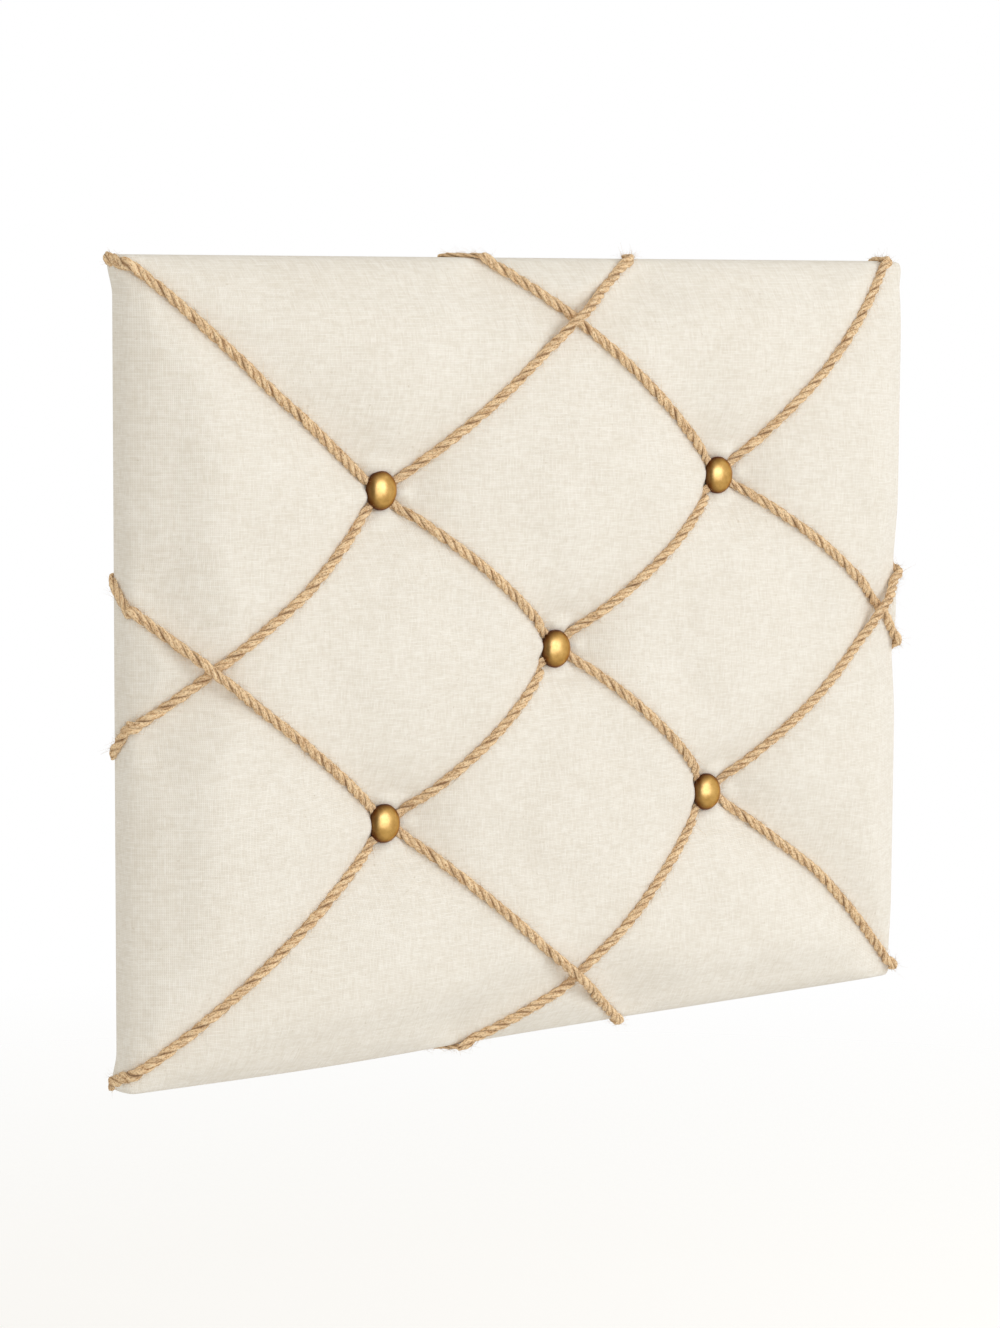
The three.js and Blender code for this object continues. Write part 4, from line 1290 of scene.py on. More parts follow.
@dataclass
class LinenCover:
    """The linen: one sheet over the padded front, round the four edges and onto the back."""

    board: BoardFrame
    form: PaddedForm
    open_step: float = 0.0047
    close_step: float = 0.0026
    edge_step: float = 0.0022
    close_band: Pair = (0.018, 0.042)
    edge_band: Pair = (0.0112, 0.032)
    line_places: int = 4001
    corner_radius: float = 0.003
    corner_flare: float = 0.0030
    flare_band: Pair = (0.003, 0.019)
    flare_ends: float = 0.002
    side_bulge: float = 0.0006
    bottom_sag: float = 0.0020
    sag_at: float = -0.14
    sag_reach: float = 0.09
    hem_width: float = 0.024
    hem_ease: float = 0.012
    side_shares: tuple[float, ...] = (0.25, 0.5, 0.75, 0.96)
    hem_insets: tuple[float, ...] = (0.0012, 0.006, 0.014, 0.024)
    fold_band: Pair = (0.003, 0.010)
    fold_levels: Pair = (0.006, 0.012)
    fold_draw: float = 0.5
    fold_rounds: int = 3
    cord_hold: Pair = (0.006, 0.036)
    edge_hold: Pair = (0.004, 0.02)
    nail_hold: Pair = (0.012, 0.024)
    slack_start: float = 0.003
    swell_limit: float = 0.005
    pressure: float = 4.0
    shrink: float = -0.012
    stiffness: float = 12.0
    bending: float = 2.0
    sim_frames: int = 20
    crease_reach: int = 6
    grid_x: Array = field(init=False)
    grid_z: Array = field(init=False)
    x: Array = field(init=False)
    z: Array = field(init=False)
    levels: Array = field(init=False)

    def lines(self, half: float, closer_at: list[float]) -> Array:
        """Spaces the grid lines, closer at the nails and at the edges.

        Args:
            half: Half the board's size that way.
            closer_at: Places of the nails that way.

        Returns:
            The lines' places.
        """
        places = np.linspace(-half, half, self.line_places)
        from_nail = np.min([np.abs(places - at) for at in closer_at], axis=0)
        from_edge = half - np.abs(places)
        nail_step = blended(self.close_step, self.open_step, smoothstep(from_nail, *self.close_band))
        edge_step = blended(self.edge_step, self.open_step, smoothstep(from_edge, *self.edge_band))
        density = 1 / np.minimum(nail_step, edge_step)
        count = np.concatenate([[0.0], np.cumsum(0.5 * (density[1:] + density[:-1]) * np.diff(places))])
        return np.interp(np.linspace(0, count[-1], int(round(count[-1])) + 1), count, places)

    def rounded(self, x: Array, z: Array) -> tuple[Array, Array]:
        """Rounds the board's four corners in plan.

        Args:
            x: Places across a square-cornered board.
            z: Places up it.

        Returns:
            The places on the board with round corners.
        """
        radius = self.corner_radius
        across = np.clip((np.abs(x) - (self.board.half_width - radius)) / radius, 0, 1)
        up = np.clip((np.abs(z) - (self.board.half_height - radius)) / radius, 0, 1)
        new_x = x + np.sign(x) * radius * across * (np.sqrt(1 - up ** 2 / 2) - 1)
        new_z = z + np.sign(z) * radius * up * (np.sqrt(1 - across ** 2 / 2) - 1)
        return new_x, new_z

    def corner_bulk(self, edge: Edge, at: Array) -> Array:
        """How far the linen stands proud of a side, at its folded corners or where it sags.

        Args:
            edge: The side's edge.
            at: Places along it, from its middle.

        Returns:
            Distances outwards.
        """
        if edge is Edge.TOP:
            return np.zeros_like(at)
        if edge is Edge.BOTTOM:
            return self.bottom_sag * np.exp(-((at - self.sag_at) / self.sag_reach) ** 2)
        from_corner = self.board.half_height - np.abs(at)
        flare = smoothstep(from_corner, 0, self.flare_ends) * (
            1 - smoothstep(from_corner, *self.flare_band))
        return self.side_bulge + self.corner_flare * flare

    def build(self) -> Piece:
        """Makes the sheet, swells it over the foam and rounds it off.

        Returns:
            The piece.
        """
        nails = [nail.place for nail in self.form.nails.values()]
        self.grid_x = self.lines(self.board.half_width, [place[0] for place in nails])
        self.grid_z = self.lines(self.board.half_height, [place[1] for place in nails])
        self.x, self.z = np.meshgrid(self.grid_x, self.grid_z)
        self.levels = self.form.level(self.x, self.z)
        piece = self.sheet()
        self.round_edges(piece)
        self.swell(piece)
        self.read_levels(piece)
        apply_modifier(piece, "SUBSURF", levels=1, render_levels=1)
        return piece

    def sheet(self) -> Piece:
        """Lays the grid of the front, then bands over the sides and onto the back.

        Returns:
            The unsmoothed sheet.
        """
        x, z = self.x, self.z
        rows, columns = x.shape
        faces, rim = grid_faces(rows, columns)
        plan_x, plan_z = self.rounded(x, z)
        rim_x, rim_z = plan_x.ravel()[rim], plan_z.ravel()[rim]
        outward, bulk = self.outwards(rim_x, rim_z)
        front = self.board.place(plan_x, plan_z, self.levels).reshape(-1, 3)
        front[rim, 0] += outward[:, 0] * bulk
        front[rim, 2] += outward[:, 1] * bulk
        flat = np.stack([x, z], axis=-1).reshape(-1, 2)
        here, ahead = flat[rim], np.roll(flat[rim], -1, axis=0)
        edges = [edge.value for edge in (Edge.BOTTOM, Edge.RIGHT, Edge.TOP, Edge.LEFT)]
        side = np.repeat(edges, [columns - 1, rows - 1] * 2, axis=0)[:, None]
        points, corners = [front], [flat[faces].reshape(-1, 2)]
        bands = [(1 - share, 0.0) for share in self.side_shares] + [(0.0, inset) for inset in self.hem_insets]
        previous, drop = rim, 0.0
        for band, (height, inset) in enumerate(bands):
            proud = bulk * (1 - smoothstep(np.array(inset), 0, self.hem_ease))
            ring_x = rim_x * (1 - inset / self.board.half_width) + outward[:, 0] * proud
            ring_z = rim_z * (1 - inset / self.board.half_height) + outward[:, 1] * proud
            points.append(self.board.place(ring_x, ring_z, self.form.edge_level(rim_x) * height))
            ring = x.size + band * len(rim) + np.arange(len(rim))
            quads = np.stack([previous, ring, np.roll(ring, -1), np.roll(previous, -1)], axis=-1)
            faces = np.concatenate([faces, quads])
            lower = self.form.edge_level(0.0) * (1 - height) + inset
            drops = np.array([drop, lower, lower, drop])[:, None]
            corners.append((np.stack([here, here, ahead, ahead], axis=1) + side * drops).reshape(-1, 2))
            previous, drop = ring, lower
        points, corners = np.concatenate(points), np.concatenate(corners)
        return mesh_piece("linen_sheet", points, faces.tolist(), "cloth", corners)

    def outwards(self, x: Array, z: Array) -> tuple[Array, Array]:
        """Finds which way the sides face at the rim, and how far the folded corners stand proud there.

        Args:
            x: The rim's places across the board.
            z: The rim's places up it.

        Returns:
            Directions in plan, and distances.
        """
        radius = self.corner_radius
        past_x = np.maximum(np.abs(x) - (self.board.half_width - radius), 0) * np.sign(x)
        past_z = np.maximum(np.abs(z) - (self.board.half_height - radius), 0) * np.sign(z)
        outward = unit(np.stack([past_x, past_z], axis=-1))
        upright = np.abs(outward[:, 0:1])
        level = np.where(z > 0, self.corner_bulk(Edge.TOP, x), self.corner_bulk(Edge.BOTTOM, x))[:, None]
        bulk = blended(level, self.corner_bulk(Edge.LEFT, z)[:, None], upright)
        return outward, bulk[:, 0]

    def round_edges(self, piece: Piece) -> None:
        """Softens the fold over the front edge by drawing points there towards their neighbours.

        Args:
            piece: The sheet.
        """
        points = points_of(piece.data)
        pairs = np.array([edge.vertices[:] for edge in piece.data.edges])
        degree = np.bincount(pairs.ravel(), minlength=len(points))[:, None]
        from_edge = self.board.from_edge(points[:, 0], points[:, 2] - self.board.middle_z)
        level = self.board.hem_back - points[:, 1]
        share = (1 - smoothstep(from_edge, *self.fold_band)) * smoothstep(level, *self.fold_levels)
        for _ in range(self.fold_rounds):
            total = np.zeros_like(points)
            np.add.at(total, pairs[:, 0], points[pairs[:, 1]])
            np.add.at(total, pairs[:, 1], points[pairs[:, 0]])
            points += self.fold_draw * share[:, None] * (total / degree - points)
        move_points(piece.data, points)

    def swell(self, piece: Piece) -> None:
        """Lets the linen swell between the cords as cloth under the foam's pressure, then keeps its shape.

        Args:
            piece: The sheet.
        """
        x, z, front = self.x, self.z, self.x.size
        rest = points_of(piece.data)
        free = smoothstep(self.form.nearest_cord(x, z), *self.cord_hold)
        free = (free * smoothstep(self.board.from_edge(x, z), *self.edge_hold)).ravel()
        free *= smoothstep(self.form.nearest_nail(x, z), *self.nail_hold).ravel()
        start = rest.copy()
        start[:front, 1] += self.slack_start * free
        move_points(piece.data, start)
        held = piece.vertex_groups.new(name="held")
        for index, share in enumerate(free):
            held.add([index], 1 - float(share), "REPLACE")
        held.add(range(front, len(rest)), 1.0, "REPLACE")
        moved = self.simulated(piece, held.name) - start
        far = np.linalg.norm(moved, axis=1, keepdims=True)
        moved *= self.swell_limit * np.tanh(far / self.swell_limit) / np.maximum(far, ROUNDING)
        grid = softened(moved[:front].reshape(*x.shape, 3), self.crease_reach).transpose(1, 0, 2)
        moved[:front] = softened(grid, self.crease_reach).transpose(1, 0, 2).reshape(-1, 3)
        log.info("linen swelled by %.1f mm at most, %.1f mm on average",
                 1000 * np.abs(moved).max(), 1000 * far[:front].mean())
        piece.vertex_groups.clear()
        move_points(piece.data, start + moved)

    def simulated(self, piece: Piece, held: str) -> Array:
        """Runs the sheet as cloth under pressure.

        Args:
            piece: The sheet.
            held: Name of the vertex group that holds points back.

        Returns:
            Where its points end up.
        """
        cloth = piece.modifiers.new("swell", "CLOTH")
        cloth.settings.vertex_group_mass = held
        cloth.settings.use_pressure = True
        cloth.settings.uniform_pressure_force = self.pressure
        cloth.settings.effector_weights.gravity = 0
        cloth.settings.shrink_min = self.shrink
        cloth.settings.tension_stiffness = self.stiffness
        cloth.settings.compression_stiffness = self.stiffness
        cloth.settings.bending_stiffness = self.bending
        cloth.collision_settings.use_collision = False
        scene = bpy.context.scene
        for number in range(1, self.sim_frames + 1):
            scene.frame_set(number)
        swollen = piece.evaluated_get(bpy.context.evaluated_depsgraph_get())
        points = points_of(swollen.data)
        piece.modifiers.remove(cloth)
        scene.frame_set(1)
        return points

    def read_levels(self, piece: Piece) -> None:
        """Keeps the levels of the finished front, on which the cords lie."""
        front = points_of(piece.data)[:self.levels.size, 1]
        self.levels = (self.board.hem_back - front).reshape(self.levels.shape)

    def level_at(self, x: Array, z: Array) -> Array:
        """Level of the finished linen at places in plan.

        Args:
            x: Places across the board.
            z: Places up it.

        Returns:
            The levels.
        """
        column = np.clip(np.searchsorted(self.grid_x, x) - 1, 0, len(self.grid_x) - 2)
        row = np.clip(np.searchsorted(self.grid_z, z) - 1, 0, len(self.grid_z) - 2)
        u = np.clip((x - self.grid_x[column]) / (self.grid_x[column + 1] - self.grid_x[column]), 0, 1)
        v = np.clip((z - self.grid_z[row]) / (self.grid_z[row + 1] - self.grid_z[row]), 0, 1)
        lower = blended(self.levels[row, column], self.levels[row, column + 1], u)
        upper = blended(self.levels[row + 1, column], self.levels[row + 1, column + 1], u)
        return blended(lower, upper, v)

    def dress(self, piece: Piece, pad: Piece) -> None:
        """Gives the cover its material and its body.

        Args:
            piece: The cover.
            pad: The foam that it is stretched over; not used.
        """
        settle(piece, LinenFinish().material(), Slot.LINEN, Body.BOARD, "linen_cover")
        turned = self.form.edge_level(0.0) + self.hem_width


# Foam pad


@dataclass
class FoamPad:
    """The foam under the linen, flat on the fibreboard."""

    board: BoardFrame
    cover: LinenCover
    step: float = 0.008
    inset: float = 0.0022
    below_linen: float = 0.0014
    least: float = 0.0006
    near: float = 0.004

    def build(self) -> Piece:
        """Makes the pad as a closed form that follows the linen.

        Returns:
            The piece.
        """
        half_x = self.board.half_width - self.inset
        half_z = self.board.half_height - self.inset
        x, z = np.meshgrid(np.linspace(-half_x, half_x, int(2 * half_x / self.step)),
                           np.linspace(-half_z, half_z, int(2 * half_z / self.step)))
        shifts = (-self.near, 0, self.near)
        around = [self.cover.level_at(x + dx, z + dz) for dx in shifts for dz in shifts]
        top = np.maximum(np.min(around, axis=0) - self.below_linen, self.board.board_front + self.least)
        front, rim = grid_faces(*x.shape)
        rear = rim + x.size
        band = np.stack([rim, rear, np.roll(rear, -1), np.roll(rim, -1)], axis=-1)
        faces = np.concatenate([front, front[:, ::-1] + x.size, band])
        levels = (top, self.board.board_front)
        points = np.concatenate([self.board.place(x, z, level).reshape(-1, 3) for level in levels])
        return mesh_piece("foam_padding", points, faces.tolist(), "pad", points[faces.ravel()][:, [0, 2]])

    def dress(self, piece: Piece) -> None:
        settle(piece, FOAM.material(), Slot.FOAM, Body.BOARD, "foam_pad")


# Jute cords


@dataclass
class CordRun:
    """The front stretch of one cord: its places in plan, its levels and its section."""

    route: Route
    plan: Array
    level: Array
    wide: Array
    thick: Array

    def nearest(self, place: Array) -> int:
        """Number of the place that is nearest to a point of the plan."""
        return int(np.argmin(np.linalg.norm(self.plan - place, axis=1)))


@dataclass(frozen=True)
class CordLine:
    """A cord's middle line: its points, directions and half sizes, and the run to each point."""

    points: Array
    travel: Array
    side: Array
    rise: Array
    wide: Array
    thick: Array
    runs: Array

    def radial(self, at: int, angle: float) -> Array:
        """Direction out of the cord at one of its points."""
        return self.side[at] * math.cos(angle) + self.rise[at] * math.sin(angle)

    def reach(self, at: int, angle: float) -> Array:
        """Way from one of its points to the cord's surface."""
        across = self.side[at] * self.wide[at] * math.cos(angle)
        return across + self.rise[at] * self.thick[at] * math.sin(angle)


@dataclass
class JuteFuzz:
    """Loose fibres of one cord: strays along it, and a frayed brush at both of its cut ends."""

    made: TubeMesh
    line: CordLine
    random: np.random.Generator
    spacing: float = 0.00035
    end_clear: float = 0.004
    back_turned: float = 0.3
    below_side: float = 0.5
    root_share: float = 0.92
    leans: Pair = (0.6, 1.6)
    lifts: Pair = (0.15, 0.7)
    lengths: Pair = (0.002, 0.005)
    radii: Pair = (0.00004, 0.00008)
    brush_fibres: int = 60
    brush_half: float = 0.00238
    brush_root: float = 0.001
    brush_splay: float = 0.5
    brush_lengths: Pair = (0.004, 0.008)
    brush_radius: float = 0.00014
    curl: float = 0.45
    taper: float = 0.75
    rings: int = 4
    sides: int = 3
    map_limit: float = 9.0
    wall_gap: float = 0.0006
    off_axis: Triple = (0.31, 0.52, 0.79)

    def strays(self) -> None:
        """Adds stray fibres along the cord, except where it lies on the back."""
        line, random = self.line, self.random
        for place in np.arange(self.end_clear, line.runs[-1] - self.end_clear, self.spacing):
            at = int(np.searchsorted(line.runs, place + random.uniform(0, self.spacing)))
            if line.rise[at] @ BACK > self.back_turned:
                continue
            angle = random.uniform(-self.below_side, math.pi + self.below_side)
            lean = line.travel[at] * random.choice([-1, 1]) * random.uniform(*self.leans)
            aim = line.radial(at, angle) * random.uniform(*self.lifts) + lean
            length = random.uniform(*self.lengths)
            root = line.points[at] + line.reach(at, angle) * self.root_share
            self.fibre(at, root, aim, length, random.uniform(*self.radii))

    def brush(self, end: int) -> None:
        """Frays one cut end of the cord.

        Args:
            end: Number of the end's point, 0 or -1.
        """
        line, random = self.line, self.random
        ahead = line.travel[end] * (1 if end else -1)
        for _ in range(self.brush_fibres):
            radial = line.radial(end, random.uniform(0, 2 * math.pi))
            out = self.brush_half * math.sqrt(random.uniform(0, 1))
            root = line.points[end] + radial * out - ahead * self.brush_root
            aim = ahead + radial * random.uniform(0, self.brush_splay)
            self.fibre(end, root, aim, random.uniform(*self.brush_lengths), self.brush_radius)

    def fibre(self, at: int, root: Array, aim: Array, length: float, radius: float) -> None:
        """Adds one thin curved fibre.

        Args:
            at: Number of the point of the line that it belongs to.
            root: Where it leaves the cord.
            aim: Which way it starts.
            length: Its length.
            radius: Its half thickness at the root.
        """
        ahead = unit(aim)
        droop = self.random.normal(size=3) * self.curl
        share = np.linspace(0, 1, self.rings)[:, None]
        middle = root + length * (ahead * share + droop * share ** 2)
        middle[:, 1] = np.minimum(middle[:, 1], -self.wall_gap)
        first = unit(np.cross(ahead, self.off_axis))
        second = np.cross(ahead, first)
        angles = np.arange(self.sides) * 2 * math.pi / self.sides
        circle = first * np.cos(angles)[:, None] + second * np.sin(angles)[:, None]
        rings = middle[:, None] + circle[None] * (radius * (1 - self.taper * share))[..., None]
        along = np.full(self.rings, self.line.runs[at])
        # Stray fibres take no painted groove shade
        crowns = np.ones((self.rings, self.sides))
        self.made.add(rings, along, crowns, self.random.uniform(0, self.map_limit))


@dataclass
class JuteCords:
    """Six cords of three strands, laced over the linen, pressed under the nails and drawn round the edges."""

    board: BoardFrame
    form: PaddedForm
    cover: LinenCover
    radius: float = 0.0028
    back_radius: float = 0.0032
    squashed_half: float = 0.0015
    squashed_wide: float = 0.0027
    edge_wide: float = 0.0035
    edge_half: float = 0.0014
    press_band: Pair = (1.1, 2.4)
    hump_reach: float = 0.034
    nail_hump: float = 0.0105
    edge_inset: float = 0.0065
    edge_slack: float = 0.0005
    edge_sink: float = 0.0004
    side_proud: float = 0.65
    front_proud: float = 0.5
    gap: float = 0.0003
    sink: float = 0.0016
    back_level: float = -0.0049
    back_shares: tuple[float, ...] = (1.33, 1.0, 0.3)
    back_turns: tuple[float, ...] = (-90.0, -60.0, -30.0)
    side_shares: tuple[float, ...] = (0.0, 0.15, 0.5, 0.85, 1.0)
    front_turns: tuple[Pair, ...] = ((30.0, 0.5), (55.0, 1.0))
    plan_step: float = 0.0015
    plan_reach: int = 8
    rest_reach: float = 0.9
    rest_places: int = 7
    level_reach: int = 4
    rim_holds: Pair = (0.85, 1.8)
    ring_every: int = 4
    curve_step: float = 0.0013
    strands: int = 3
    strand_sides: int = 9
    lay_length: float = 0.0205
    strand_share: float = 0.52
    circle_share: float = 0.45
    sway: float = 0.25
    sway_run: float = 0.031
    swell: float = 0.06
    swell_run: float = 0.0061
    ripple: float = 0.05
    ripple_run: float = 0.0023
    phase_limit: float = 6.0
    map_apart: float = 3.0
    seed: int = 7
    random: np.random.Generator = field(init=False)

    def build(self) -> dict[str, Piece]:
        """Lays every cord and twists its strands.

        Returns:
            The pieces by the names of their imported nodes.
        """
        runs = {route.name: self.front_run(route) for route in ROUTES}
        self.cross(runs)
        self.random = np.random.default_rng(self.seed)
        return {f"cord_{name}": self.twist(run) for name, run in runs.items()}

    def front_run(self, route: Route) -> CordRun:
        """Lays a cord on the linen between its two edges.

        Args:
            route: The cord's route.

        Returns:
            Its front stretch.
        """
        points = np.array(self.form.plan(route))
        runs = run_lengths(points)
        inside = np.linspace(self.edge_inset, runs[-1] - self.edge_inset, int(runs[-1] / self.plan_step))
        plan = np.stack([np.interp(inside, runs, points[:, axis]) for axis in (0, 1)], axis=-1)
        plan = softened(plan, self.plan_reach)
        nails = [nail for name, nail in self.form.nails.items() if name in route.by]
        from_nails = [np.linalg.norm(plan - nail.place, axis=1) / nail.radius for nail in nails]
        free = smoothstep(np.min(from_nails, axis=0), *self.press_band)
        wide = blended(self.squashed_wide, self.radius, free)
        thick = blended(self.squashed_half, self.radius, free)
        across = unit(np.gradient(plan, axis=0))[:, ::-1] * [-1, 1]
        resting = []
        for share in np.linspace(-self.rest_reach, self.rest_reach, self.rest_places):
            beside = plan + across * (wide * share)[:, None]
            below = thick * math.sqrt(1 - share ** 2)
            resting.append(self.cover.level_at(beside[:, 0], beside[:, 1]) + below)
        level = softened(np.max(resting, axis=0), self.level_reach) - self.sink * free
        for nail, from_nail in zip(nails, from_nails):
            near = 1 - smoothstep(from_nail, *self.rim_holds)
            level = blended(level, nail.rim - thick - self.gap, near)
        return CordRun(route, plan, level, wide, thick)

    def cross(self, runs: dict[str, CordRun]) -> None:
        """Lifts the upper cord at every crossing.

        Args:
            runs: The cords' front stretches by name, changed in place.
        """
        for name, (over, under) in CROSSINGS.items():
            place = self.form.point(name)
            self.lift(runs[over], runs[under], place, 2 * self.radius, self.hump_reach)
        for name, nail in self.form.nails.items():
            falling, rising = [run for run in runs.values() if name in run.route.by]
            self.lift(rising, falling, nail.place, 2 * self.squashed_half, self.nail_hump)

    def lift(self, over: CordRun, under: CordRun, place: Array, rise: float, reach: float) -> None:
        """Lifts one cord over another in a smooth hump.

        Args:
            over: The cord on top, changed in place.
            under: The cord below.
            place: The crossing in plan.
            rise: Height of the upper cord's middle over the lower one's.
            reach: Half the hump's length.
        """
        short = under.level[under.nearest(place)] + rise - over.level[over.nearest(place)]
        away = np.minimum(np.linalg.norm(over.plan - place, axis=1) / reach, 1)
        over.level = over.level + max(short, 0) * np.cos(away * math.pi / 2) ** 2

    def wrap_rings(self, wrap: Wrap, staple: Array) -> list[tuple[Array, Array, float, float]]:
        """Places the rings that take a cord from its end on the back round an edge to the front.

        Args:
            wrap: Where the cord goes round the edge.
            staple: Plan place of the staple that holds its end.

        Returns:
            Each ring's point, outward direction, half width and half thickness.
        """
        outward = np.array(wrap.edge.value, float)
        behind = self.board.on_edge(wrap.edge, wrap.at + wrap.side_drift)
        rings = []
        for share in self.back_shares:
            x, z = blended(behind, staple, share)
            rings.append((self.board.place(x, z, self.back_level), BACK, self.back_radius, self.back_radius))
        turns = [(degrees, 0.0, -self.edge_sink) for degrees in self.back_turns]
        turns += [(0.0, forward, -self.edge_sink) for forward in self.side_shares]
        turns += [(degrees, 1.0, self.edge_slack * share) for degrees, share in self.front_turns]
        for degrees, forward, slack in turns:
            angle = math.radians(degrees)
            reach = self.edge_half + slack
            at = wrap.at + wrap.side_drift * (1 - forward)
            bulk = float(self.cover.corner_bulk(wrap.edge, np.array(at)))
            proud = bulk * blended(self.side_proud, self.front_proud, forward)
            x, z = self.board.on_edge(wrap.edge, at) + outward * (reach * math.cos(angle) + proud)
            level = self.form.edge_level(x) * forward + reach * math.sin(angle)
            out = np.array([outward[0], 0, outward[1]]) * math.cos(angle) - BACK * math.sin(angle)
            rings.append((self.board.place(x, z, level), out, self.edge_wide, self.edge_half))
        return rings

    def staple_place(self, route: Route, end: str) -> Array:
        """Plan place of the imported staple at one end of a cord."""
        x, z = plan_middle(f"cord_staple_{route.name}_{end}")
        return np.array([x, z - self.board.middle_z])

    def twist(self, run: CordRun) -> Piece:
        """Draws a cord's line from end to end and lays its strands round it.

        Args:
            run: The cord's front stretch.

        Returns:
            The piece.
        """
        front = self.board.place(run.plan[:, 0], run.plan[:, 1], run.level)
        laid = [(point, FRONT, wide, thick) for point, wide, thick in zip(front, run.wide, run.thick)]
        rings = self.wrap_rings(run.route.start, self.staple_place(run.route, "start"))
        rings += laid[::self.ring_every]
        rings += self.wrap_rings(run.route.end, self.staple_place(run.route, "end"))[::-1]
        points, outs, wides, thicks = (np.array(column) for column in zip(*rings))
        points, places, at = smooth_line(points, self.curve_step)
        out = np.stack([np.interp(places, at, outs[:, axis]) for axis in range(3)], axis=-1)
        wide, thick = (np.interp(places, at, sizes) for sizes in (wides, thicks))
        travel = unit(np.gradient(points, axis=0))
        side = unit(np.cross(travel, out))
        line = CordLine(points, travel, side, np.cross(side, travel), wide, thick, run_lengths(points))
        log.info("cord_%s: %.0f mm long", run.route.name, 1000 * line.runs[-1])
        made = TubeMesh()
        phase = self.random.uniform(0, 2 * math.pi)
        for number in range(self.strands):
            self.strand(made, number, phase, line)
        fuzz = JuteFuzz(made, line, self.random)
        fuzz.strays()
        for end in (0, -1):
            fuzz.brush(end)
        return made.piece(f"jute_cord_{run.route.name}")

    def strand(self, made: TubeMesh, number: int, phase: float, line: CordLine) -> None:
        """Winds one strand round the cord's line.

        Args:
            made: The mesh to add to.
            number: Which strand.
            phase: Turn of the first strand at the start.
            line: The cord's line.
        """
        runs, side, rise = line.runs, line.side, line.rise
        sway = self.sway * np.sin(runs / self.sway_run + self.random.uniform(0, self.phase_limit))
        turn = phase + 2 * math.pi * (number / self.strands - runs / self.lay_length) + sway
        swell = self.swell * np.sin(runs / self.swell_run + self.random.uniform(0, self.phase_limit))
        ripple = self.ripple * np.sin(runs / self.ripple_run + number)
        circle = np.stack([np.cos(turn), np.sin(turn)], axis=-1)
        flat = circle * self.radius * self.circle_share
        ahead = unit(np.gradient(line.points + side * flat[:, :1] + rise * flat[:, 1:], axis=0))
        radial = side * circle[:, :1] + rise * circle[:, 1:]
        normal = unit(radial - ahead * np.sum(radial * ahead, axis=1, keepdims=True))
        binormal = np.cross(ahead, normal)
        angles = np.arange(self.strand_sides) * 2 * math.pi / self.strand_sides
        thickness = (self.radius * self.strand_share * (1 + swell + ripple))[:, None, None]
        offsets = thickness * (normal[:, None] * np.cos(angles)[None, :, None]
                               + binormal[:, None] * np.sin(angles)[None, :, None])
        across = np.sum(offsets * side[:, None], axis=-1) + flat[:, :1]
        upward = np.sum(offsets * rise[:, None], axis=-1) + flat[:, 1:]
        onward = np.sum(offsets * line.travel[:, None], axis=-1)
        rings = (line.points[:, None] + line.travel[:, None] * onward[..., None]
                 + side[:, None] * (across * (line.wide / self.radius)[:, None])[..., None]
                 + rise[:, None] * (upward * (line.thick / self.radius)[:, None])[..., None])
        # Each point's distance from the cord's middle is its crown value, which sets the painted groove shade
        made.add(rings, runs, np.hypot(across, upward) / self.radius, number * self.map_apart)

    def dress(self, pieces: dict[str, Piece]) -> None:
        """Gives the cords their material and ties them to the board."""
        settle_all(pieces, JuteFinish().material(), Slot.JUTE)


# Nail domes


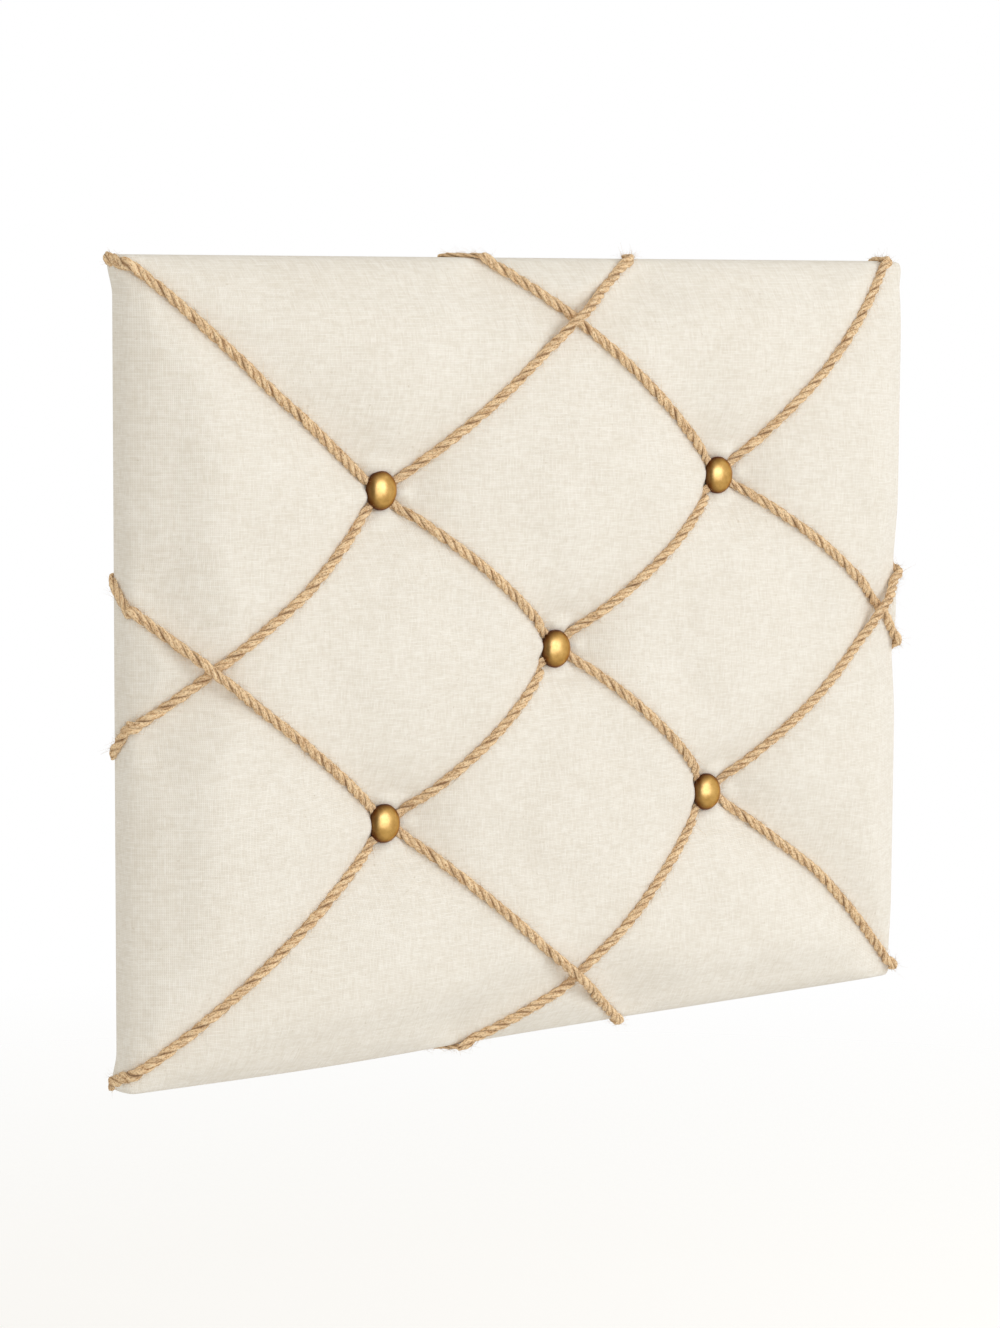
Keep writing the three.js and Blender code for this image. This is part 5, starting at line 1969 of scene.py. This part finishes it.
@dataclass
class NailDomes:
    """Five pressed brass domes with a rolled rim."""

    board: BoardFrame
    nails: dict[str, Nail]
    segments: int = 40
    rings: int = 20
    raised: float = 0.98
    sunk: float = 0.0011
    lip: float = 0.0006
    lip_bevel: float = 0.0002
    wall: float = 0.0008

    def build(self) -> dict[str, Piece]:
        """Shapes one dome and copies it to every nail.

        Returns:
            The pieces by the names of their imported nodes.
        """
        pattern = self.pattern(next(iter(self.nails.values())))
        pieces = {}
        for nail in self.nails.values():
            at = self.board.place(nail.place[0], nail.place[1], nail.rim - self.sunk)
            move = Matrix.Translation(Vector(at)) @ Matrix.Rotation(math.pi / 2, 4, "X")
            piece = copied(pattern, f"brass_dome_{nail.name}", move)
            self.map_dome(piece.data, at, nail.radius)
            pieces[f"nail_dome_{nail.name}"] = piece
        bpy.data.objects.remove(pattern)
        return pieces

    def pattern(self, nail: Nail) -> Piece:
        """Models a dome at the origin, crown up, with its rim in the plane of Z = 0.

        Args:
            nail: A nail with the dome's sizes.

        Returns:
            The pattern.
        """
        deselect_all()
        bpy.ops.mesh.primitive_uv_sphere_add(
            segments=self.segments, ring_count=self.rings, radius=nail.radius)
        pattern = start_editing()
        bpy.ops.mesh.bisect(plane_co=(0, 0, 0), plane_no=(0, 0, 1), clear_inner=True)
        bpy.ops.mesh.select_all(action="SELECT")
        scale_about((0, 0, 0), DOME_NARROWED, 1, (nail.rise * self.raised - self.lip) / nail.radius)
        bpy.ops.transform.translate(value=(0, 0, self.lip))
        pick(pattern, "vertices", lambda vertex: meets(vertex.co.z, self.lip))
        extrude(z=-self.lip)
        extrude()
        inner = 1 - self.wall / nail.radius
        scale_about((0, 0, 0), inner, inner, 1)
        extrude(z=2 * self.lip)
        bpy.ops.mesh.edge_face_add()
        bpy.ops.object.mode_set(mode="OBJECT")
        bevel_edges(pattern, self.lip_bevel)
        pattern.data.polygons.foreach_set("use_smooth", np.ones(len(pattern.data.polygons), bool))
        return pattern

    def map_dome(self, mesh: bpy.types.Mesh, at: Array, radius: float) -> None:
        """Maps a dome by how far each point lies from the middle, as a share of the radius.

        Args:
            mesh: The dome's mesh, in place.
            at: The middle of its rim.
            radius: Its radius.
        """
        while mesh.uv_layers:
            mesh.uv_layers.remove(mesh.uv_layers[0])
        layer = mesh.uv_layers.new(name="dome")
        for loop in mesh.loops:
            x, _, z = mesh.vertices[loop.vertex_index].co
            share = math.hypot((x - at[0]) / DOME_NARROWED, z - at[2]) / radius
            layer.data[loop.index].uv = (share, math.atan2(z - at[2], x - at[0]))

    def dress(self, pieces: dict[str, Piece]) -> None:
        """Gives the domes their material and ties them to the board."""
        settle_all(pieces, BrassFinish().material(), Slot.BRASS)


# Dust sheet


@dataclass
class DustSheet:
    """The kraft paper over the back, a little cockled between its edges."""

    step: float = 0.006
    cockle: float = 0.0007
    edge_band: Pair = (0.012, 0.05)
    wave_across: float = 0.019
    wave_up: float = 0.027
    drift_across: float = 0.051
    drift_up: float = 0.043
    drift_turns: Pair = (1.3, 0.9)

    def build(self) -> Piece:
        """Makes the paper as one sheet that faces the wall.

        Returns:
            The piece.
        """
        low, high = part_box("dust_sheet")
        x, z = np.meshgrid(np.linspace(low.x, high.x, int((high.x - low.x) / self.step)),
                           np.linspace(low.z, high.z, int((high.z - low.z) / self.step)))
        from_edge = np.minimum(high.x - np.abs(x), np.minimum(high.z - z, z - low.z))
        drift_x = self.drift_turns[0] * np.sin(z / self.drift_up)
        drift_z = self.drift_turns[1] * np.sin(x / self.drift_across)
        waves = np.sin(x / self.wave_across + drift_x) * np.sin(z / self.wave_up + drift_z)
        eased = smoothstep(from_edge, *self.edge_band)
        y = high.y + self.cockle * (0.5 * waves - 0.5) * eased
        points = np.stack([x, y, z], axis=-1).reshape(-1, 3)
        front, _ = grid_faces(*x.shape)
        faces = np.roll(front[:, ::-1], 1, axis=1)
        places = points[faces.ravel()][:, [0, 2]]
        return mesh_piece("kraft_dust_sheet", points, faces.tolist(), "paper", places)

    def dress(self, piece: Piece) -> None:
        """Gives the paper its material and ties it to the board.

        Args:
            piece: The paper.
        """
        settle(piece, KRAFT.material(), Slot.KRAFT, Body.BOARD, "dust_sheet")


# Staples


@dataclass(frozen=True)
class StapleSpan:
    """How a packed staple lies: its middle, its direction in plan, its wire and its depth."""

    x: float
    z: float
    heading: float
    half: float
    wire: float
    tip: float
    crown: float

    @classmethod
    def read(cls, name: str) -> "StapleSpan":
        """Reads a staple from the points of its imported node.

        Args:
            name: The node's name.

        Returns:
            The staple's span.
        """
        points = points_of(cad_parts[name].data)
        low, high = points.min(axis=0), points.max(axis=0)
        plan = (points - (low + high) / 2)[:, [0, 2]]
        _, directions = np.linalg.eigh(plan.T @ plan)
        across, along = directions.T
        half, wire = np.abs(plan @ along).max(), 2 * np.abs(plan @ across).max()
        x, z = (low[0] + high[0]) / 2, (low[2] + high[2]) / 2
        return cls(x, z, math.atan2(along[1], along[0]), half, wire, low[1], high[1])


@dataclass
class WireStaples:
    """Staples of square wire: wide ones over the cords' ends, fine ones in the hem of the linen."""

    bend_share: float = 0.9
    bend_steps: int = 4
    edge_share: float = 0.16

    def build(self) -> dict[str, Piece]:
        """Bends one staple of each kind and copies it to every place.

        Returns:
            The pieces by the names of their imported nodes.
        """
        pieces = {}
        for kind in ("cord_staple", "hem_staple"):
            spans = {name: StapleSpan.read(name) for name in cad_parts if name.startswith(kind)}
            pattern = self.pattern(next(iter(spans.values())))
            for name, span in spans.items():
                move = Matrix.Translation((span.x, 0, span.z)) @ Matrix.Rotation(-span.heading, 4, "Y")
                pieces[name] = copied(pattern, f"{name}_wire", move)
            bpy.data.objects.remove(pattern)
        return pieces

    def pattern(self, span: StapleSpan) -> Piece:
        """Bends a staple along X, with its legs towards the front.

        Args:
            span: The staple's sizes.

        Returns:
            The pattern.
        """
        crook = span.wire * self.bend_share
        half = span.half - span.wire / 2
        top = span.crown - span.wire / 2 - crook
        piece = flat_section(span.wire, span.wire, (-half, span.tip, 0), (math.pi / 2, 0, 0))
        extrude(y=top - span.tip)
        bend((crook - half, top, 0), (0, 0, 1), -90, self.bend_steps)
        extrude(x=2 * (half - crook))
        bend((half - crook, top, 0), (0, 0, 1), -90, self.bend_steps)
        extrude(y=span.tip - top)
        leave_edit(piece, "staple_pattern")
        return soften(piece, span.wire * self.edge_share)

    def dress(self, pieces: dict[str, Piece]) -> None:
        """Gives the staples their steel and ties them to the board."""
        settle_all(pieces, STEEL.material(), Slot.STEEL)


# D-ring hangers


@dataclass
class Hanger:
    """One D-ring hanger: a strap curled round its ring's bar, and a cross-head screw through the strap."""

    side: str
    body: Body
    screw_turn: float
    thick: float = 0.001
    curl: float = 252.0
    curl_steps: int = 18
    strap_corner: float = 0.0042
    corner_steps: int = 6
    strap_edge: float = 0.0002
    ring_crook: float = 0.0025
    crook_steps: int = 6
    loop_steps: int = 28
    ring_sides: int = 12
    shank: float = 0.0015
    point_share: float = 0.1
    hole: float = 0.0018
    hole_sides: int = 24
    head_sides: int = 28
    head_steps: tuple[Pair, ...] = ((0.3, 1.0), (0.3, 0.95), (0.25, 0.86), (0.15, 0.7))
    slot_long: float = 0.0034
    slot_wide: float = 0.0008
    slot_deep: float = 0.0011

    def build(self) -> dict[str, Piece]:
        """Models the hanger's three pieces.

        Returns:
            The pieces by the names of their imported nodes.
        """
        low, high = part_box(f"hanger_ring_{self.side}")
        wire = (high.y - low.y) / 2
        bar = Vector(((low.x + high.x) / 2, (low.y + high.y) / 2, low.z + wire))
        return {
            f"hanger_ring_{self.side}": self.ring(bar, wire, high),
            f"hanger_strap_{self.side}": self.strap(bar),
            f"hanger_screw_{self.side}": self.screw(),
        }

    def ring(self, bar: Vector, wire: float, high: Vector) -> Piece:
        """Bends the ring from round wire, from the middle of its bar round to the same place.

        Args:
            bar: The middle of its straight bar.
            wire: Half the wire's thickness.
            high: The highest corner of its packed box.

        Returns:
            The piece.
        """
        x, y, z = bar
        crook = self.ring_crook
        half = high.x - wire - x
        straight = high.z - wire - half - z - crook
        around = (0, 1, 0)
        piece = round_section(wire, (x, y, z), (0, math.pi / 2, 0), self.ring_sides)
        extrude(x=half - crook)
        bend((x + half - crook, y, z + crook), around, -90, self.crook_steps)
        extrude(z=straight)
        bend((x, y, z + crook + straight), around, -180, self.loop_steps)
        extrude(z=-straight)
        bend((x - half + crook, y, z + crook), around, -90, self.crook_steps)
        extrude(x=half - crook)
        leave_edit(piece, f"hanger_ring_{self.side}_wire")
        return soften(piece, 0)

    def strap(self, bar: Vector) -> Piece:
        """Curls the strap round the bar, rounds its lower end and drills it.

        Args:
            bar: The middle of the ring's bar.

        Returns:
            The piece.
        """
        low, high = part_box(f"hanger_strap_{self.side}")
        piece = flat_section(high.x - low.x, self.thick, (bar.x, low.y + self.thick / 2, low.z), (0, 0, 0))
        extrude(z=bar.z - low.z)
        bend(tuple(bar), (1, 0, 0), -self.curl, self.curl_steps)
        face_outwards()
        points = piece.data.vertices
        pick(piece, "edges", lambda edge: all(meets(points[i].co.z, low.z) for i in edge.vertices)
             and meets(points[edge.vertices[0]].co.x, points[edge.vertices[1]].co.x))
        bpy.ops.mesh.bevel(offset=self.strap_corner, segments=self.corner_steps, affect="EDGES")
        leave_edit(piece, f"hanger_strap_{self.side}_plate")
        x, z = plan_middle(f"hanger_screw_{self.side}")
        deselect_all()
        bpy.ops.mesh.primitive_cylinder_add(
            vertices=self.hole_sides, radius=self.hole, depth=4 * self.thick,
            location=(x, low.y, z), rotation=(math.pi / 2, 0, 0))
        cut_away(piece, bpy.context.object)
        return soften(piece, self.strap_edge)

    def screw(self) -> Piece:
        """Models the screw: a domed head, a shank with a point, and a cross recess.

        Returns:
            The piece.
        """
        low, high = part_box(f"hanger_screw_{self.side}")
        x, z = plan_middle(f"hanger_screw_{self.side}")
        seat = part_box(f"hanger_strap_{self.side}")[0].y + self.thick
        radius = (high.x - low.x) / 2
        piece = round_section(radius, (x, seat, z), (math.pi / 2, 0, 0), self.head_sides)
        top = seat
        for rise, share in self.head_steps:
            step = rise * (high.y - seat)
            top += step
            extrude(y=step)
            scale_about((x, top, z), share, share, share)
        face_outwards()
        pick(piece, "polygons", lambda face: meets(face.center.y, seat))
        bpy.ops.mesh.inset(thickness=radius - self.shank)
        extrude(y=low.y + self.shank - seat)
        extrude(y=-self.shank)
        scale_about((x, low.y, z), self.point_share, self.point_share, self.point_share)
        leave_edit(piece, f"hanger_screw_{self.side}_pan")
        for degrees in (self.screw_turn, self.screw_turn + 90):
            deselect_all()
            turn = (0, math.radians(degrees), 0)
            bpy.ops.mesh.primitive_cube_add(size=1, location=(x, high.y, z), rotation=turn)
            bpy.context.object.scale = (self.slot_long, 2 * self.slot_deep, self.slot_wide)
            cut_away(piece, bpy.context.object)
        return soften(piece, 0)

    def dress(self, pieces: dict[str, Piece]) -> None:
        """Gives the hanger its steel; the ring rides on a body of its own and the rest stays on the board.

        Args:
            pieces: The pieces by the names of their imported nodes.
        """
        for name, piece in pieces.items():
            body = self.body if "_ring_" in name else Body.BOARD
            settle(piece, STEEL.material(), Slot.STEEL, body, name)


# Bumpers


@dataclass
class RubberBumpers:
    """Four moulded feet that keep the board off the wall."""

    sides: int = 36
    taper: float = 0.9
    edge: float = 0.0007
    edge_steps: int = 3
    dish_inset: float = 0.0022
    dish_deep: float = 0.0004

    def build(self) -> dict[str, Piece]:
        """Moulds one foot and copies it to every place.

        Returns:
            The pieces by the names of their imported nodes.
        """
        names = [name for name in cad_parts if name.startswith("bumper")]
        pattern = self.pattern(*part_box(names[0]))
        pieces = {}
        for name in names:
            x, z = plan_middle(name)
            pieces[name] = copied(pattern, f"{name}_foot", Matrix.Translation((x, 0, z)))
        bpy.data.objects.remove(pattern)
        return pieces

    def pattern(self, low: Vector, high: Vector) -> Piece:
        """Moulds a foot round the Y axis: tapered, with a shallow dish in its end.

        Args:
            low: The lowest corner of a packed foot's box.
            high: The highest corner.

        Returns:
            The pattern.
        """
        piece = round_section((high.x - low.x) / 2, (0, low.y, 0), (math.pi / 2, 0, 0), self.sides)
        extrude(y=high.y - low.y)
        scale_about((0, high.y, 0), self.taper, 1, self.taper)
        face_outwards()
        pick(piece, "polygons", lambda face: meets(face.center.y, high.y))
        bpy.ops.mesh.bevel(offset=self.edge, segments=self.edge_steps, affect="EDGES")
        pick(piece, "polygons", lambda face: meets(face.center.y, high.y))
        bpy.ops.mesh.inset(thickness=self.dish_inset)
        bpy.ops.mesh.inset(thickness=self.dish_deep)
        bpy.ops.transform.translate(value=(0, -self.dish_deep, 0))
        leave_edit(piece, "bumper_pattern")
        return soften(piece, 0)

    def dress(self, pieces: dict[str, Piece]) -> None:
        """Gives the feet their rubber and ties them to the board."""
        settle_all(pieces, RUBBER.material(), Slot.RUBBER)


# Studio


class Ray(Enum):
    """A kind of light ray, as the name of the setting that shows an object to it."""

    DIFFUSE = "visible_diffuse"
    GLOSSY = "visible_glossy"


@dataclass(frozen=True)
class Softbox:
    """A soft lamp that faces the board and isn't seen by one kind of ray."""

    name: str
    at: Triple
    size: Pair
    power: float
    tint: Triple
    unseen_by: Ray

    def build(self) -> None:
        """Hangs the lamp."""
        data = bpy.data.lights.new(self.name, "AREA")
        data.shape = "RECTANGLE"
        data.size, data.size_y = self.size
        data.energy = self.power
        data.color = self.tint
        lamp = in_scene(self.name, data)
        lamp.location = self.at
        low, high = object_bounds()
        aim = (low + high) / 2 - Vector(self.at)
        lamp.rotation_mode = "QUATERNION"
        lamp.rotation_quaternion = aim.to_track_quat("-Z", "Y")
        setattr(lamp, self.unseen_by.value, False)


SOFTBOXES = (
    Softbox("front_softbox", at=(-0.35, -2.15, 0.35), size=(2.5, 2.2), power=62.0, tint=(0.74, 0.92, 1.5),
            unseen_by=Ray.DIFFUSE),
    Softbox("right_softbox", at=(1.45, -1.95, 0.55), size=(1.5, 1.5), power=20.5, tint=(0.97, 0.99, 1.0),
            unseen_by=Ray.GLOSSY),
    Softbox("left_softbox", at=(-1.35, -2.0, 0.1), size=(1.5, 1.5), power=6.5, tint=(1.0, 0.965, 0.89),
            unseen_by=Ray.GLOSSY),
)


@dataclass
class Studio:
    """A pale floor, soft light and the camera at the photograph's angle."""

    eye: Triple = (-1.1855, -1.4919, 0.0619)
    yaw: float = 38.26
    pitch: float = -6.15
    roll: float = 0.33
    focal_pixels: float = 3630.0
    image_height: float = 1328.0
    sensor: float = 36.0
    sight: float = 100.0
    floor_size: float = 24.0
    floor_drop: float = 0.30
    floor_solid: float = 0.7
    floor_gone: float = 1.7
    floor_shade: Colour = (0.9, 0.9, 0.9, 1)
    floor_glow: Colour = (0.25, 0.25, 0.255, 1)
    ambient: Colour = (0.72, 0.705, 0.665, 1)
    white: Colour = (1, 1, 1, 1)
    black: Colour = (0, 0, 0, 1)
    card_at: Triple = (-1.3, -0.45, -0.1)
    card_size: Pair = (2.3, 2.4)
    card_turn: float = 75.0
    card_shade: Colour = (0.08, 0.065, 0.05, 1)

    def build(self) -> None:
        """Sets up the whole studio."""
        self.camera()
        self.floor()
        self.world()
        for softbox in SOFTBOXES:
            softbox.build()
        self.dark_card()
        bpy.context.scene.view_settings.view_transform = "Standard"

    def camera(self) -> None:
        """Places the camera."""
        yaw, pitch, roll = (math.radians(angle) for angle in (self.yaw, self.pitch, self.roll))
        ahead = Vector((math.sin(yaw) * math.cos(pitch), math.cos(yaw) * math.cos(pitch), math.sin(pitch)))
        level = Vector((math.cos(yaw), -math.sin(yaw), 0))
        upward = level.cross(ahead)
        right = level * math.cos(roll) + upward * math.sin(roll)
        up = upward * math.cos(roll) - level * math.sin(roll)
        data = bpy.data.cameras.new("camera")
        data.sensor_width = self.sensor
        data.lens = self.focal_pixels / self.image_height * self.sensor
        data.clip_end = self.sight
        camera = in_scene("camera", data)
        turn = Matrix((right, up, -ahead)).transposed().to_4x4()
        camera.matrix_world = Matrix.Translation(self.eye) @ turn
        bpy.context.scene.camera = camera

    def floor(self) -> None:
        """Lays the floor under the hanging board."""
        low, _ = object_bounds()
        deselect_all()
        bpy.ops.mesh.primitive_plane_add(size=self.floor_size, location=(0, 0, low.z - self.floor_drop))
        floor = bpy.context.object
        floor.name = "floor"
        bpy.ops.object.transform_apply(location=True, rotation=True, scale=True)
        material, nodes, shader = new_material("pale_floor")
        set_plain(shader, {
            "Base Color": self.floor_shade, "Roughness": 1.0,
            "Specular IOR Level": 0.0, "Emission Strength": 1.0,
        })
        eye = nodes.add("ShaderNodeLightPath").outputs["Is Camera Ray"]
        nodes.feed(shader.inputs["Emission Color"], nodes.mix(eye, self.black, self.floor_glow))
        place = nodes.stretched(nodes.object_place(), (1, 1, 0))
        away = nodes.add("ShaderNodeVectorMath", {0: place}, operation="LENGTH").outputs["Value"]
        nodes.feed(shader.inputs["Alpha"], nodes.spread(away, self.floor_gone, self.floor_solid))
        floor.data.materials.append(material)
        floor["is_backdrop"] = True

    def world(self) -> None:
        """Makes the background white to the eye and in the metal, and a soft light elsewhere."""
        world = bpy.data.worlds.new("studio")
        bpy.context.scene.world = world
        world.use_nodes = True
        nodes = NodeTree(world.node_tree)
        path = nodes.add("ShaderNodeLightPath").outputs
        seen = nodes.sum("MAXIMUM", path["Is Camera Ray"], path["Is Glossy Ray"])
        seen = nodes.sum("MAXIMUM", seen, path["Is Transmission Ray"])
        background = world.node_tree.nodes["Background"]
        nodes.feed(background.inputs["Color"], nodes.mix(seen, self.ambient, self.white))

    def dark_card(self) -> None:
        """Stands a dark card at the left, out of the camera's sight, for the shaded side of the brass."""
        deselect_all()
        turn = (math.pi / 2, 0, math.radians(self.card_turn))
        bpy.ops.mesh.primitive_plane_add(size=1, location=self.card_at, rotation=turn)
        card = bpy.context.object
        card.name = "dark_card"
        card.scale = (*self.card_size, 1)
        card.visible_camera = False
        card.visible_diffuse = False
        card.visible_shadow = False
        material, _, shader = new_material("dark_card")
        set_plain(shader, {"Base Color": self.card_shade, "Roughness": 1.0})
        card.data.materials.append(material)
        card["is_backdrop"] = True


# The whole


def dress_packed_nodes() -> None:
    """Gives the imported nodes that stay, the fibreboard and the nail pins, their materials."""
    for name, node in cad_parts.items():
        if node.hide_render:
            continue
        material = (FIBREBOARD if name == "fibre_board" else STEEL).material()
        node.data.materials.clear()
        node.data.materials.append(material)
        log.info("%s: packed node, %s", name, material.name)


def main() -> None:
    """Builds the board's pieces in order, dresses them and sets up the studio."""
    logging.basicConfig(level=logging.INFO, format="%(name)s %(message)s")
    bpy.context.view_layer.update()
    board = BoardFrame.read()
    nails = {name: Nail.read(name, board) for name in NAIL_NAMES}
    form = PaddedForm(board, nails)

    cover = LinenCover(board, form)
    linen = cover.build()
    pad = FoamPad(board, cover)
    foam = pad.build()
    pad.dress(foam)
    cover.dress(linen, foam)

    cords = JuteCords(board, form, cover)
    cords.dress(cords.build())
    domes = NailDomes(board, nails)
    domes.dress(domes.build())
    paper = DustSheet()
    paper.dress(paper.build())

    staples = WireStaples()
    staples.dress(staples.build())
    left_hanger = Hanger("left", Body.RING_LEFT, screw_turn=20.0)
    right_hanger = Hanger("right", Body.RING_RIGHT, screw_turn=63.0)
    for hanger in (left_hanger, right_hanger):
        hanger.dress(hanger.build())
    bumpers = RubberBumpers()
    bumpers.dress(bumpers.build())

    dress_packed_nodes()
    Studio().build()


if __name__ == "__main__":
    main()
